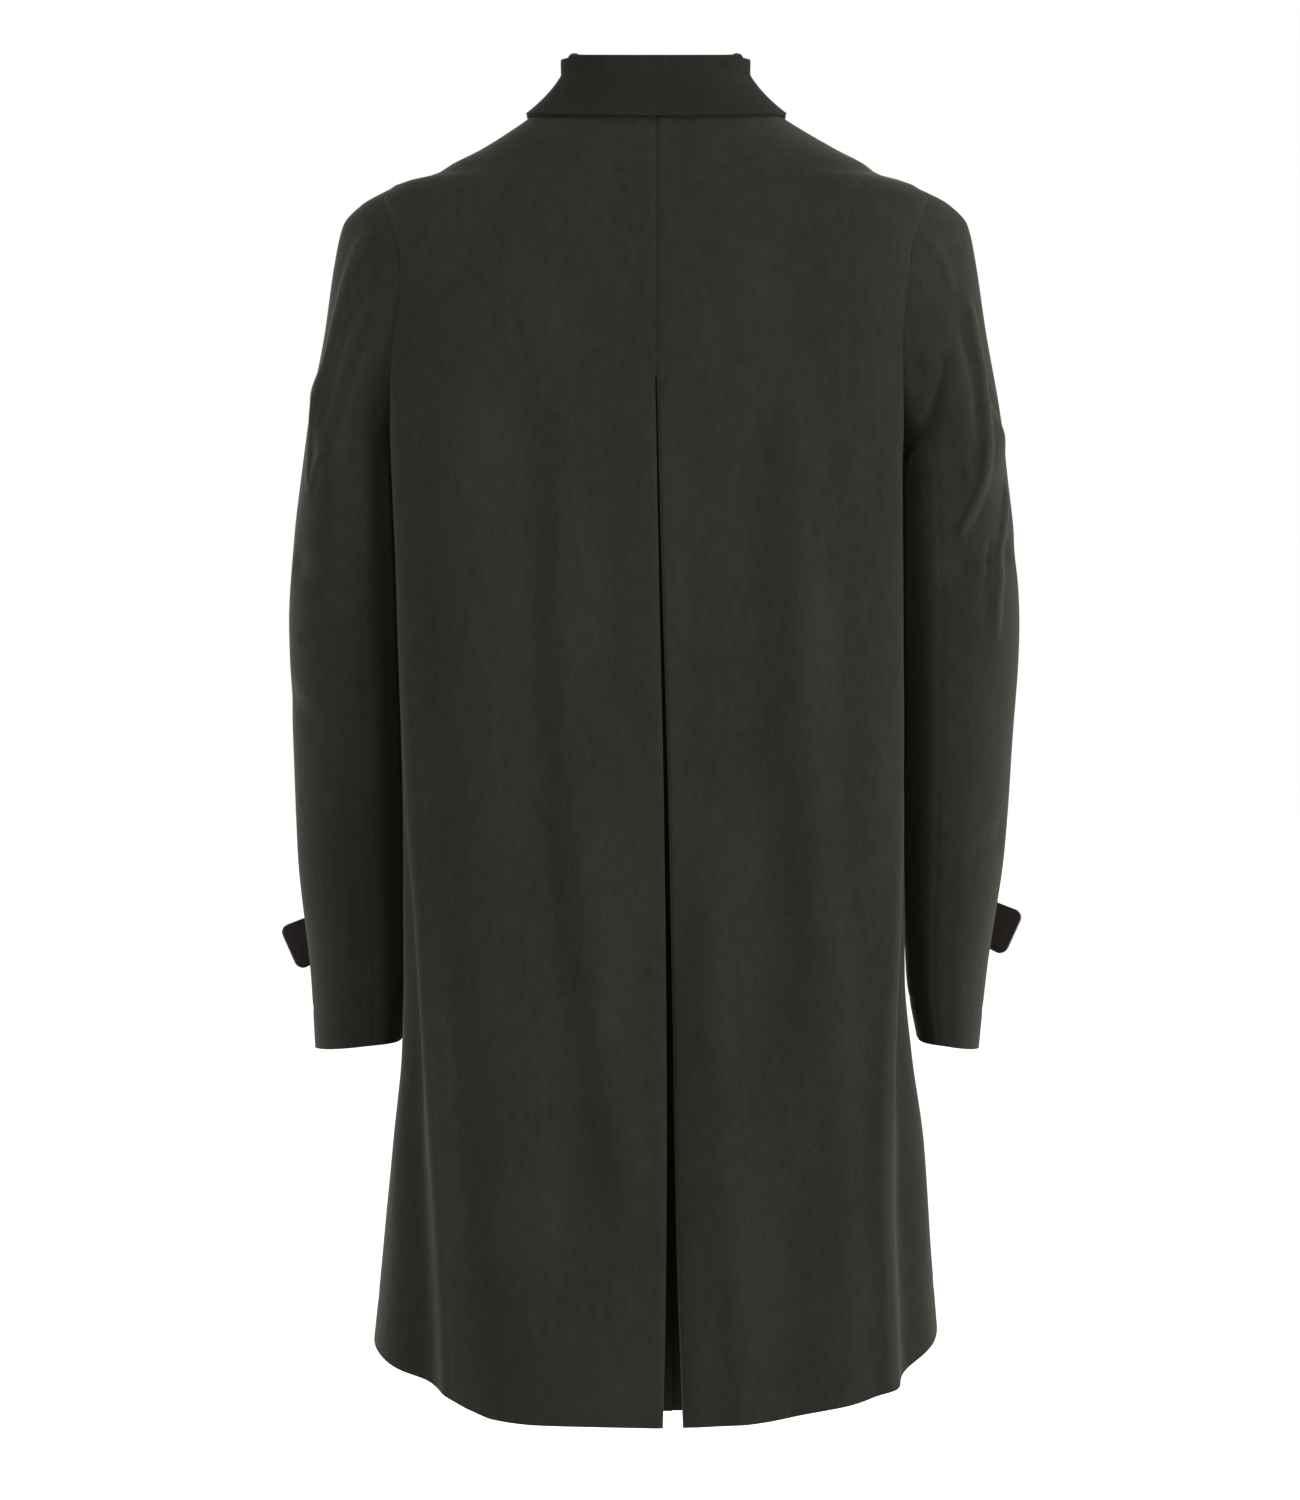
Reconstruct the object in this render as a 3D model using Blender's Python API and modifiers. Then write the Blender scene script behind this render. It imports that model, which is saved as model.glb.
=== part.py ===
# Loden coat, worn form, hollow. Blender 4.5 script: metres, +Z up, the back faces +Y, the wearer's
# left is +X. The origin is the middle of the neck opening at the height of the centre back neck seam.

import math
from collections import namedtuple

import bpy
import numpy as np
from mathutils import Matrix, Vector

# Driving dimensions
WALL = 0.002
COLLAR_WALL = 0.003
TAB_WALL = 0.003
SEAM_GAP = 0.0003
REST_GAP = 0.0004
PLEAT_TOP = -0.224
PLEAT_RETURN = 0.060
PLEAT_TURN = 0.0022
UNDERLAY_FLAT = 0.010
PLEAT_TACK = 0.0022
UNDERARM = -0.300
SHOULDER_TIP = -0.070
SIDE_NECK = 0.010
ARM_MIDDLE = (SHOULDER_TIP + UNDERARM) / 2
ARM_HALF = (SHOULDER_TIP - UNDERARM) / 2
ARMHOLE_BACK = 0.088
ARMHOLE_FRONT = 0.068
NECK_HOLLOW = 2.5
FRONT_HEM_ROUND = 1.5
LAP_WIDTH = 0.035
LAP_LIFT = 0.0015
LAP_START = 0.075
LAP_EASE = 0.035
STAND_TURN = 0.0028
STAND_FOOT = 0.0021
STAND_LEAN = 0.001
STAND_SIDE_LEAN = -0.0075
STAND_LEAN_END = 0.90
STAND_SETBACK = 0.0004
BUTTON_RADIUS = 0.014
BUTTON_HEIGHT = 0.0045
BUTTON_SPACING = 0.155
BUTTON_TOP = -0.108
BUTTON_COUNT = 4
TAB_BUTTON_RADIUS = 0.0105
TAB_BUTTON_HEIGHT = 0.004
TAB_WIDTH = 0.036
TAB_HEIGHT_Z = {"left": -0.658, "right": -0.646}
TAB_FREE = 0.046
TAB_SLOPE = 0.38
TAB_DROP = 0.003
TAB_STEPS = (15, 16, 17, 18)

# Grid counts
SHOULDER_ROWS = 6
ARMHOLE_ROWS = 11
PLEAT_STEP = 7
SKIRT_ROWS = 14
SLEEVE_ROWS = 20
SLEEVE_CROWDING = 1.4
SLEEVE_RADIUS = 0.06
SLEEVE_SQUARE = 3.8
SLEEVE_NARROW = 0.043
SEAM_TURN = math.radians(40)
SIDE_TO_EDGE = (0.0, 0.25, 0.50, 0.68, 0.80, 0.91)
EDGE_TO_CENTRE = (0.0, 0.08, 0.18, 0.30, 0.42, 0.54, 0.66, 0.78, 0.89, 1.0)
FRONT_COLUMNS = 10
NORMAL_STEP = 0.002
COLLAR_STEPS_BACK = 8
COLLAR_STEPS_FRONT = 11

# Level sections of the body, to the outside of the cloth: half width at the side seams, depth
# behind and before the side seams, and how square the two corners are (2 is an ellipse).
Section = namedtuple("Section", "z left right back front back_corner front_corner")
SECTIONS = (
    Section(-1.045, 0.2315, 0.2310, 0.158, 0.170, 3.0, 2.7),
    Section(-0.930, 0.2190, 0.2215, 0.152, 0.164, 3.3, 2.8),
    Section(-0.834, 0.2095, 0.2145, 0.146, 0.158, 3.8, 2.9),
    Section(-0.760, 0.2020, 0.2040, 0.140, 0.152, 4.3, 3.0),
    Section(-0.700, 0.2005, 0.1985, 0.136, 0.148, 4.6, 3.0),
    Section(-0.530, 0.2020, 0.1980, 0.128, 0.142, 5.2, 3.0),
    Section(-0.450, 0.2035, 0.1965, 0.127, 0.141, 5.4, 3.0),
    Section(-0.300, 0.2090, 0.1960, 0.126, 0.140, 5.2, 3.0),
    Section(-0.250, 0.2125, 0.1985, 0.123, 0.137, 5.0, 3.0),
    Section(-0.200, 0.2200, 0.2070, 0.118, 0.130, 4.6, 3.0),
    Section(-0.140, 0.2255, 0.2240, 0.105, 0.118, 4.0, 3.0),
    Section(-0.085, 0.2225, 0.2225, 0.091, 0.102, 3.3, 2.9),
    Section(-0.070, 0.2080, 0.2060, 0.086, 0.097, 2.8, 2.7),
    Section(-0.063, 0.1800, 0.1810, 0.0835, 0.0945, 2.7, 2.6),
    Section(-0.0525, 0.1635, 0.1670, 0.0790, 0.0905, 2.5, 2.5),
    Section(-0.043, 0.1445, 0.1490, 0.0745, 0.086, 2.4, 2.4),
    Section(-0.014, 0.1000, 0.1010, 0.0570, 0.068, 2.3, 2.3),
    Section(0.000, 0.0825, 0.0825, 0.0460, 0.056, 2.2, 2.2),
    Section(0.012, 0.0680, 0.0680, 0.0400, 0.040, 2.2, 2.2),
)

# Where each level row of a panel, named by its height at the side, meets the centre line.
RowEnd = namedtuple("RowEnd", "side back front")
ROW_ENDS = (
    RowEnd(-0.984, -1.039, -1.020),
    RowEnd(-0.300, -0.298, -0.315),
    RowEnd(-0.2327, PLEAT_TOP, -0.245),
    RowEnd(-0.070, -0.075, -0.130),
    RowEnd(0.010, 0.000, -0.070),
)

# Height of the back hem by the fraction of the girth from the side seam to the centre back.
HemRow = namedtuple("HemRow", "at left right")
HEM = (
    HemRow(0.00, -0.9840, -0.9740),
    HemRow(0.24, -0.9945, -0.9880),
    HemRow(0.36, -1.0030, -1.0050),
    HemRow(0.46, -1.0110, -1.0150),
    HemRow(0.53, -1.0175, -1.0210),
    HemRow(0.58, -1.0270, -1.0250),
    HemRow(0.64, -1.0335, -1.0285),
    HemRow(0.76, -1.0370, -1.0345),
    HemRow(1.00, -1.0390, -1.0390),
)

# Distance of the back's outer fold edge from the centre back, measured round the cloth.
EdgeRow = namedtuple("EdgeRow", "z left right")
BACK_EDGE = (
    EdgeRow(-1.045, 0.156, 0.186),
    EdgeRow(-0.944, 0.161, 0.182),
    EdgeRow(-0.867, 0.166, 0.178),
    EdgeRow(-0.790, 0.172, 0.180),
    EdgeRow(-0.650, 0.184, 0.192),
    EdgeRow(-0.530, 0.203, 0.205),
    EdgeRow(-0.200, 0.212, 0.205),
    EdgeRow(0.012, 0.060, 0.060),
)

# Soft hanging folds. The path gives heights and distances from the centre line round the cloth.
Fold = namedtuple("Fold", "side face height width fade path")
FOLDS = (
    Fold("left", "back", 0.0034, 0.026, 0.12, ((-0.20, 0.0), (-0.62, 0.0))),
    Fold("left", "back", -0.0016, 0.013, 0.10, ((-0.24, 0.036), (-0.55, 0.040))),
    Fold("left", "back", 0.0038, 0.015, 0.09,
         ((-0.25, 0.072), (-0.40, 0.074), (-0.52, 0.069), (-0.64, 0.058), (-0.78, 0.040),
          (-0.92, 0.024))),
    Fold("left", "back", -0.0036, 0.020, 0.09,
         ((-0.24, 0.100), (-0.40, 0.101), (-0.52, 0.096), (-0.64, 0.086), (-0.78, 0.067),
          (-0.94, 0.050))),
    Fold("left", "back", 0.0036, 0.030, 0.12,
         ((-0.20, 0.148), (-0.60, 0.140), (-0.78, 0.122), (-1.05, 0.100))),
    Fold("right", "back", 0.0034, 0.020, 0.12, ((-0.20, 0.0), (-0.62, 0.0))),
    Fold("right", "back", -0.0050, 0.017, 0.14, ((-0.60, 0.0), (-1.05, 0.0))),
    Fold("right", "back", 0.0036, 0.017, 0.12,
         ((-0.56, 0.034), (-0.63, 0.037), (-0.79, 0.045), (-0.95, 0.060), (-1.05, 0.066))),
    Fold("right", "back", -0.0040, 0.022, 0.10,
         ((-0.20, 0.066), (-0.34, 0.068), (-0.48, 0.073), (-0.60, 0.081), (-0.71, 0.090),
          (-0.86, 0.098), (-1.05, 0.106))),
    Fold("right", "back", 0.0048, 0.017, 0.10,
         ((-0.20, 0.106), (-0.34, 0.112), (-0.48, 0.116), (-0.60, 0.121), (-0.71, 0.136),
          (-0.86, 0.147), (-1.05, 0.158))),
    Fold("right", "back", -0.0022, 0.014, 0.10,
         ((-0.30, 0.142), (-0.60, 0.150), (-0.76, 0.164))),
    Fold("left", "front", -0.0040, 0.024, 0.12,
         ((-0.32, 0.100), (-0.70, 0.110), (-1.05, 0.125))),
    Fold("left", "front", 0.0050, 0.024, 0.12,
         ((-0.40, 0.150), (-0.75, 0.160), (-1.05, 0.175))),
    Fold("right", "front", -0.0040, 0.024, 0.12,
         ((-0.36, 0.095), (-0.70, 0.100), (-1.05, 0.118))),
    Fold("right", "front", 0.0045, 0.024, 0.12,
         ((-0.45, 0.148), (-0.75, 0.155), (-1.05, 0.168))),
)
EDGE_HEIGHT = 0.010
EDGE_WIDTH = 0.012
HOLLOW_DEPTH = -0.010
HOLLOW_WIDTH = 0.019
HOLLOW_OFFSET = 0.031
EDGE_TOP = -0.46
EDGE_FADE = 0.30

# The inverted pleat: sideways drift of its mouth, half its mouth, and how far its inner fold edge
# and its underlay stand in from the back.
PleatRow = namedtuple("PleatRow", "z drift mouth inner underlay")
PLEAT = (
    PleatRow(-1.045, -0.0132, 0.0078, 0.046, 0.078),
    PleatRow(-0.930, -0.0122, 0.0045, 0.036, 0.062),
    PleatRow(-0.790, -0.0112, 0.0028, 0.024, 0.042),
    PleatRow(-0.560, -0.0080, 0.0018, 0.013, 0.024),
    PleatRow(-0.400, -0.0040, 0.0012, 0.0080, 0.0150),
    PleatRow(PLEAT_TOP, 0.0, 0.0004, 0.0048, 0.0096),
)
DRIFT_REACH = 0.12

# Level sections of the two sleeves, to the outside of the cloth: outer and inner side, back and
# front reach. Above the underarm the inner side is only the far end of the oval.
SleeveRow = namedtuple("SleeveRow", "z left_outer right_outer left_inner right_inner back front")
SLEEVE = (
    SleeveRow(-0.764, 0.2770, 0.2628, 0.2055, 0.2140, 0.0200, 0.1020),
    SleeveRow(-0.700, 0.2805, 0.2690, 0.2022, 0.2035, 0.0295, 0.0980),
    SleeveRow(-0.600, 0.2898, 0.2825, 0.2030, 0.2002, 0.0475, 0.0925),
    SleeveRow(-0.500, 0.2922, 0.2880, 0.2041, 0.1992, 0.0680, 0.0855),
    SleeveRow(-0.420, 0.2945, 0.2920, 0.2062, 0.1980, 0.0800, 0.0815),
    SleeveRow(-0.350, 0.2895, 0.2875, 0.2092, 0.1977, 0.0875, 0.0800),
    SleeveRow(-0.300, 0.2835, 0.2815, 0.2113, 0.1983, 0.0900, 0.0790),
    SleeveRow(-0.250, 0.2765, 0.2755, 0.1965, 0.1750, 0.0925, 0.0780),
    SleeveRow(-0.185, 0.2645, 0.2640, 0.1645, 0.1600, 0.0925, 0.0755),
    SleeveRow(-0.130, 0.2565, 0.2560, 0.1570, 0.1560, 0.0880, 0.0720),
    SleeveRow(-0.1005, 0.2500, 0.2500, 0.1500, 0.1500, 0.0800, 0.0705),
    SleeveRow(-0.0845, 0.2356, 0.2356, 0.1356, 0.1356, 0.0755, 0.0690),
    SleeveRow(-0.070, 0.2090, 0.2070, 0.1200, 0.1200, 0.0720, 0.0680),
)
CUFF = -0.758
CUFF_TILT = 0.004
# Steps round the sleeve from the shoulder over the back; the under sleeve lies between the seams.
BACK_SEAM_STEP = 7
FRONT_SEAM_STEP = 16
SEAM_ROOM = 0.0010
UNDERARM_ROOM = 0.0024
ROOM_FADE = 0.07
FOLD_START = 0.03
FOLD_END_FADE = 0.012

# Drag folds of the sleeves, each along a line from one place to another: angle round the sleeve
# in degrees, counted from the outer side over the back, and height.
SleeveFold = namedtuple("SleeveFold", "side angle_1 z_1 angle_2 z_2 height width")
SLEEVE_FOLDS = (
    SleeveFold("right", 100, -0.215, 158, -0.290, -0.0050, 0.013),
    SleeveFold("right", 20, -0.262, 78, -0.318, 0.0045, 0.014),
    SleeveFold("right", 40, -0.362, 110, -0.372, -0.0045, 0.012),
    SleeveFold("right", -70, -0.330, 10, -0.372, -0.0040, 0.014),
    SleeveFold("left", 20, -0.226, 80, -0.300, 0.0045, 0.015),
    SleeveFold("left", 30, -0.372, 110, -0.400, -0.0045, 0.013),
    SleeveFold("left", 10, -0.470, 70, -0.500, -0.0030, 0.013),
    SleeveFold("left", -90, -0.350, -10, -0.380, -0.0040, 0.014),
    SleeveFold("right", 30, -0.585, 80, -0.600, -0.0030, 0.013),
)

# The collar by distance along the half neck edge, 0 at the centre back and 1 at the centre front:
# height of the stand, how far the fall drops below the neck edge, and how far it sags inwards.
CollarRow = namedtuple("CollarRow", "along stand drop sag")
COLLAR = (
    CollarRow(0.00, 0.0285, 0.0220, 0.0010),
    CollarRow(0.25, 0.0280, 0.0230, 0.0030),
    CollarRow(0.42, 0.0270, 0.0250, 0.0065),
    CollarRow(0.70, 0.0220, 0.0400, 0.0010),
    CollarRow(1.00, 0.0130, 0.0560, -0.0020),
)
COLLAR_LIFT = 0.0042
COLLAR_FRONT_END = 0.965
COLLAR_SPREAD = 0.13
FRONT_LIFT = 0.0022
FALL_STEPS = (0.25, 0.5, 0.75, 1.0)

LODEN = (0.030, 0.031, 0.025)
LODEN_COLLAR = (0.034, 0.034, 0.028)
LEATHER = (0.022, 0.016, 0.014)
HORN = (0.045, 0.030, 0.020)


def clear_scene():
    for thing in list(bpy.data.objects):
        bpy.data.objects.remove(thing, do_unlink=True)


def through(rows, column, at, key="z"):
    """The value of a table's column at each place, on a smooth curve that never overshoots its rows."""
    rows = sorted(rows, key=lambda row: getattr(row, key))
    xs = np.array([getattr(row, key) for row in rows], float)
    ys = np.array([getattr(row, column) for row in rows], float)
    return smooth_curve(xs, ys, at)


def smooth_curve(xs, ys, at):
    at = np.clip(np.asarray(at, float), xs[0], xs[-1])
    step = np.diff(xs)
    rise = np.diff(ys) / step
    slope = np.zeros_like(ys)
    slope[0] = rise[0]
    slope[-1] = rise[-1]
    for i in range(1, len(xs) - 1):
        if rise[i - 1] * rise[i] > 0:
            slope[i] = 2 * rise[i - 1] * rise[i] / (rise[i - 1] + rise[i])
    i = np.clip(np.searchsorted(xs, at, side="right") - 1, 0, len(xs) - 2)
    t = (at - xs[i]) / step[i]
    start = ys[i] * (1 + 2 * t) * (1 - t) ** 2 + slope[i] * step[i] * t * (1 - t) ** 2
    end = ys[i + 1] * t * t * (3 - 2 * t) + slope[i + 1] * step[i] * t * t * (t - 1)
    return start + end


def ease(t):
    t = np.clip(t, 0.0, 1.0)
    return t * t * (3 - 2 * t)


def outline(side, face, z):
    """A quarter of the level section at each height: x, y and girth, from the side seam to the centre."""
    z = np.atleast_1d(np.asarray(z, float))
    width = (through(SECTIONS, side, z) - WALL / 2)[:, None]
    depth = (through(SECTIONS, face, z) - WALL / 2)[:, None]
    corner = through(SECTIONS, face + "_corner", z)[:, None]
    angle = np.linspace(0, math.pi / 2, 121)[None, :]
    across = np.abs(np.cos(angle)) / width
    along = np.abs(np.sin(angle)) / depth
    reach = (across ** corner + along ** corner) ** (-1 / corner)
    x = reach * np.cos(angle)
    y = reach * np.sin(angle)
    length = np.hypot(np.diff(x), np.diff(y)).cumsum(axis=1)
    girth = np.concatenate([np.zeros_like(z)[:, None], length], axis=1)
    return x, y, girth


def plain_body(side, face, f, z):
    """Points at the fraction f of the girth, 0 at the side seam, 1 at the centre and past it."""
    x, y, girth = outline(side, face, z)
    inner = np.where(f > 1, 2 - f, f)
    target = np.clip(inner, 0, 1) * girth[:, -1]
    i = np.clip((girth < target[:, None]).sum(axis=1), 1, girth.shape[1] - 1)
    rows = np.arange(len(f))
    t = (target - girth[rows, i - 1]) / (girth[rows, i] - girth[rows, i - 1])
    px = x[rows, i - 1] + t * (x[rows, i] - x[rows, i - 1])
    py = y[rows, i - 1] + t * (y[rows, i] - y[rows, i - 1])
    sign = 1 if side == "left" else -1
    turn = 1 if face == "back" else -1
    points = np.stack([np.where(f > 1, -px, px) * sign, py * turn, z], axis=1)
    return points, (1 - f) * girth[:, -1]


def fold_height(side, face, distance, z):
    """How far the folds lift the cloth off its plain section."""
    total = np.zeros_like(z)
    for fold in FOLDS:
        if (fold.side, fold.face) != (side, face):
            continue
        path = sorted(fold.path)
        line = smooth_curve(np.array([p[0] for p in path]), np.array([p[1] for p in path]), z)
        strength = ease((path[-1][0] - z) / fold.fade)
        if path[0][0] > -1.0:
            strength = strength * ease((z - path[0][0]) / fold.fade)
        total += fold.height * strength * np.exp(-((distance - line) / fold.width) ** 2)
    if face == "back":
        line = through(BACK_EDGE, side, z)
        strength = ease((EDGE_TOP - z) / EDGE_FADE)
        total += EDGE_HEIGHT * strength * np.exp(-((distance - line) / EDGE_WIDTH) ** 2)
        hollow = np.exp(-((distance - line - HOLLOW_OFFSET) / HOLLOW_WIDTH) ** 2)
        total += HOLLOW_DEPTH * strength * hollow
    return total


def body(side, face, f, z, lift=0.0, over=None):
    """Points of the hanging cloth, moved out along its plain normal by the folds and by lift.

    The fronts lap with the left over the right; over is 1 for the upper level and -1 for the lower."""
    f = np.atleast_1d(np.asarray(f, float))
    z = np.broadcast_to(np.asarray(z, float), f.shape).copy()
    step = NORMAL_STEP
    points, distance = plain_body(side, face, f, z)
    along = plain_body(side, face, f + step, z)[0] - plain_body(side, face, f - step, z)[0]
    up = plain_body(side, face, f, z + step)[0] - plain_body(side, face, f, z - step)[0]
    normal = np.cross(along, up)
    normal /= np.linalg.norm(normal, axis=1)[:, None]
    outward = np.sign((normal[:, :2] * points[:, :2]).sum(axis=1))
    normal *= outward[:, None]
    height = fold_height(side, face, distance, z)
    if face == "front":
        over = over or (1 if side == "left" else -1)
        height = height + over * LAP_LIFT * ease((LAP_START - distance) / LAP_EASE)
    points = points + normal * (height + lift)[:, None]
    if face == "back":
        reach = np.clip(1 - np.abs(points[:, 0]) / DRIFT_REACH, 0, 1) ** 2
        points[:, 0] += through(PLEAT, "drift", z) * reach
    return points


def drawn_in(grid):
    """Moves the borders of a grid of points in by half the seam gap."""
    moved = grid.copy()
    sides = (((slice(None), 0), (slice(None), 1)), ((slice(None), -1), (slice(None), -2)), (0, 1), (-1, -2))
    for border, inner in sides:
        towards = grid[inner] - grid[border]
        moved[border] += towards / np.linalg.norm(towards, axis=-1, keepdims=True) * SEAM_GAP / 2
    return moved


def panel_rows(side):
    """Heights of a panel's rows at its side, from the neck to the hem, and the armhole angle of each."""
    rows = [(z, None) for z in np.linspace(SIDE_NECK, SHOULDER_TIP, SHOULDER_ROWS + 1)[:-1]]
    hem_at_side = float(through(HEM, side, 0.0, key="at"))
    for step in range(ARMHOLE_ROWS + 1):
        angle = math.pi * step / ARMHOLE_ROWS
        if step == PLEAT_STEP:
            above = angle - PLEAT_TACK / ARM_HALF
            rows.append((ARM_MIDDLE + ARM_HALF * math.cos(above), above))
        rows.append((ARM_MIDDLE + ARM_HALF * math.cos(angle), angle))
    rows += [(z, None) for z in np.linspace(UNDERARM, hem_at_side, SKIRT_ROWS + 1)[1:]]
    return rows


def armhole_fraction(side, face, z, angle):
    """The fraction of the girth at which the armhole cuts a row."""
    reach = (ARMHOLE_BACK if face == "back" else ARMHOLE_FRONT) * math.sin(angle)
    x, y, girth = outline(side, face, z)
    return float(np.interp(reach, y[0], girth[0]) / girth[0, -1])


def row_heights(side, face, z_side, s):
    """Heights along a row that ends at z_side at the side."""
    level = z_side
    hem_at_side = float(through(HEM, side, 0.0, key="at"))
    if z_side < UNDERARM:
        drop = (z_side - UNDERARM) / (hem_at_side - UNDERARM)
        level = UNDERARM + (ROW_ENDS[0].side - UNDERARM) * drop
    z_centre = float(through(ROW_ENDS, face, level, key="side"))
    shoulder = ease((z_side - UNDERARM) / (SIDE_NECK - UNDERARM))
    skirt = ease((UNDERARM - z_side) / (UNDERARM - hem_at_side))
    if face == "front":
        rise = s ** (1 + (NECK_HOLLOW - 1) * shoulder)
        hem = np.sin(s * math.pi / 2) ** FRONT_HEM_ROUND
    else:
        rise = 1 - (1 - s) ** (1 + shoulder)
        hem = (through(HEM, side, s, key="at") - hem_at_side) / (ROW_ENDS[0].back - hem_at_side)
    rise = rise + (hem - rise) * skirt
    return z_side + (z_centre - z_side) * rise


def edge_columns(side, z_side, start):
    """Column places of a back row, closest where the outer fold edge runs."""
    girth = outline(side, "back", z_side)[2][0, -1]
    edge = 1 - float(through(BACK_EDGE, side, z_side)) / girth
    edge = max(edge, start + 0.25 * (1 - start))
    near = [start + (edge - start) * t for t in SIDE_TO_EDGE]
    return np.array(near + [edge + (1 - edge) * t for t in EDGE_TO_CENTRE])


def back_grid(side):
    """Points of the back half and of the pleat layers behind it, with gaps where there are none."""
    sign = 1 if side == "left" else -1
    main = []
    layers = []
    for z_side, angle in panel_rows(side):
        start = 0.0 if angle is None else armhole_fraction(side, "back", z_side, angle)
        f = edge_columns(side, z_side, start)
        s = (f - start) / (1 - start)
        z = row_heights(side, "back", z_side, s)
        folded = z[-1] < PLEAT_TOP + 0.001
        girth = outline(side, "back", z[-1])[2][0, -1]
        mouth = float(through(PLEAT, "mouth", z[-1]))
        edge = mouth + WALL / 2 + PLEAT_TURN if folded else 0.0
        f = start + (f - start) * (1 - start - edge / girth) / (1 - start)
        row = body(side, "back", f, z)
        main.append(row)
        layers.append(pleat_row(row, sign, z[-1], mouth) if folded else None)
    main = drawn_in(np.array(main))
    width = max(len(layer) for layer in layers if layer is not None)
    empty = np.full((width, 3), np.nan)
    extra = np.array([empty if layer is None else layer for layer in layers])
    return np.concatenate([main, extra], axis=1)


def pleat_row(row, sign, z, mouth):
    """One level row of the pleat: round the fold edge, out along the return, and back to the centre."""
    drift = float(through(PLEAT, "drift", z))
    inner = float(through(PLEAT, "inner", z))
    underlay = float(through(PLEAT, "underlay", z))
    r = PLEAT_TURN
    edge = mouth + WALL / 2 + r
    run = math.sqrt(PLEAT_RETURN ** 2 - (inner - 2 * r) ** 2)
    far = edge + run
    places = []
    for turn in (60, 120, 180):
        a = math.radians(turn)
        places.append((edge - r * math.sin(a), r * (1 - math.cos(a))))
    for t in (0.4, 0.8, 1.0):
        places.append((edge + run * t, 2 * r + (inner - 2 * r) * t))
    for turn in (60, 120, 180):
        a = math.radians(turn)
        places.append((far + r * math.sin(a), inner + r * (1 - math.cos(a))))
    last = inner + 2 * r
    deepest = max(underlay, last)
    places.append((far * 0.6, (last + deepest) / 2))
    places.append((UNDERLAY_FLAT, deepest))
    places.append((SEAM_GAP / 2, deepest))
    xs = (row[:, 0] - drift) * sign
    order = np.argsort(xs)
    layer = []
    for x, depth in places:
        y = np.interp(x, xs[order], row[order, 1])
        height = np.interp(x, xs[order], row[order, 2])
        layer.append((drift + sign * x, y - depth, height))
    return np.array(layer)


def front_grid(side):
    grid = []
    for z_side, angle in panel_rows(side):
        start = 0.0 if angle is None else armhole_fraction(side, "front", z_side, angle)
        s = np.linspace(0, 1, FRONT_COLUMNS + 1)
        f = start + (1 - start) * s
        z = row_heights(side, "front", z_side, s)
        girth = outline(side, "front", z[-1])[2][0, -1]
        lap = LAP_WIDTH / girth
        f = np.append(f, (1 + lap / 2, 1 + lap))
        z = np.append(z, (z[-1], z[-1]))
        grid.append(body(side, "front", f, z))
    return drawn_in(np.array(grid))


def armhole_curve(side):
    """Points of the armhole, by angle from the shoulder: over the back to 180, over the front to -180.

    They stand out from the body's edge by the room that the two walls need."""
    sign = 1 if side == "left" else -1
    angles = np.linspace(-math.pi, math.pi, 8 * ARMHOLE_ROWS + 1)
    points = []
    for angle in angles:
        z = ARM_MIDDLE + ARM_HALF * math.cos(angle)
        face = "back" if angle >= 0 else "front"
        f = armhole_fraction(side, face, z, abs(angle))
        point = body(side, face, [f], z)[0]
        point[0] += sign * (SEAM_ROOM + UNDERARM_ROOM * (angle / math.pi) ** 2)
        points.append(point)
    return angles, np.array(points)


def oval(side, theta, z):
    """The plain level section of a sleeve, theta counted from the outer side over the back."""
    outer = through(SLEEVE, side + "_outer", z) - WALL / 2
    inner = through(SLEEVE, side + "_inner", z) + WALL / 2
    back = through(SLEEVE, "back", z) - WALL / 2
    front = through(SLEEVE, "front", z) - WALL / 2
    # the part that lies beside the body is squarer than an oval
    towards, behind = np.cos(theta), np.sin(theta)
    square = (np.abs(towards) ** SLEEVE_SQUARE + np.abs(behind) ** SLEEVE_SQUARE) ** (-1 / SLEEVE_SQUARE)
    square = np.where((towards < 0) & (behind > 0), square, 1.0)
    x = (outer + inner) / 2 + (outer - inner) / 2 * towards * square
    y = (back - front) / 2 + (back + front) / 2 * behind * square
    return np.stack([x * (1 if side == "left" else -1), y], axis=-1)


def sleeve(side, theta, z, curve, lift=0.0):
    """Points of a sleeve, which takes up the armhole above the underarm."""
    theta, z = np.broadcast_arrays(np.asarray(theta, float), np.asarray(z, float))
    level = np.maximum(z, UNDERARM)
    reach = np.arccos(np.clip((level - ARM_MIDDLE) / ARM_HALF, -1, 1))
    at = np.where(theta >= 0, reach, -reach)
    angles, points = curve
    edge = np.stack([np.interp(at, angles, points[:, 0]), np.interp(at, angles, points[:, 1])], axis=-1)
    share = (theta / np.maximum(reach, 1e-6)) ** 2 * ease((z - UNDERARM + ROOM_FADE) / ROOM_FADE)
    flat = oval(side, theta, z) + (edge - oval(side, at, level)) * np.clip(share, 0, 1)[..., None]
    middle = oval(side, 0.0, z) / 2 + oval(side, math.pi, z) / 2
    out = flat - middle
    out /= np.linalg.norm(out, axis=-1, keepdims=True)
    height = np.zeros_like(z)
    for fold in SLEEVE_FOLDS:
        if fold.side == side:
            height = height + sleeve_fold_height(fold, np.degrees(theta), z)
    near = ease((ARM_MIDDLE + ARM_HALF * np.cos(theta) - z) / FOLD_START)
    flat = flat + out * (height * near + lift)[..., None]
    return np.concatenate([flat, z[..., None]], axis=-1)


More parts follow.
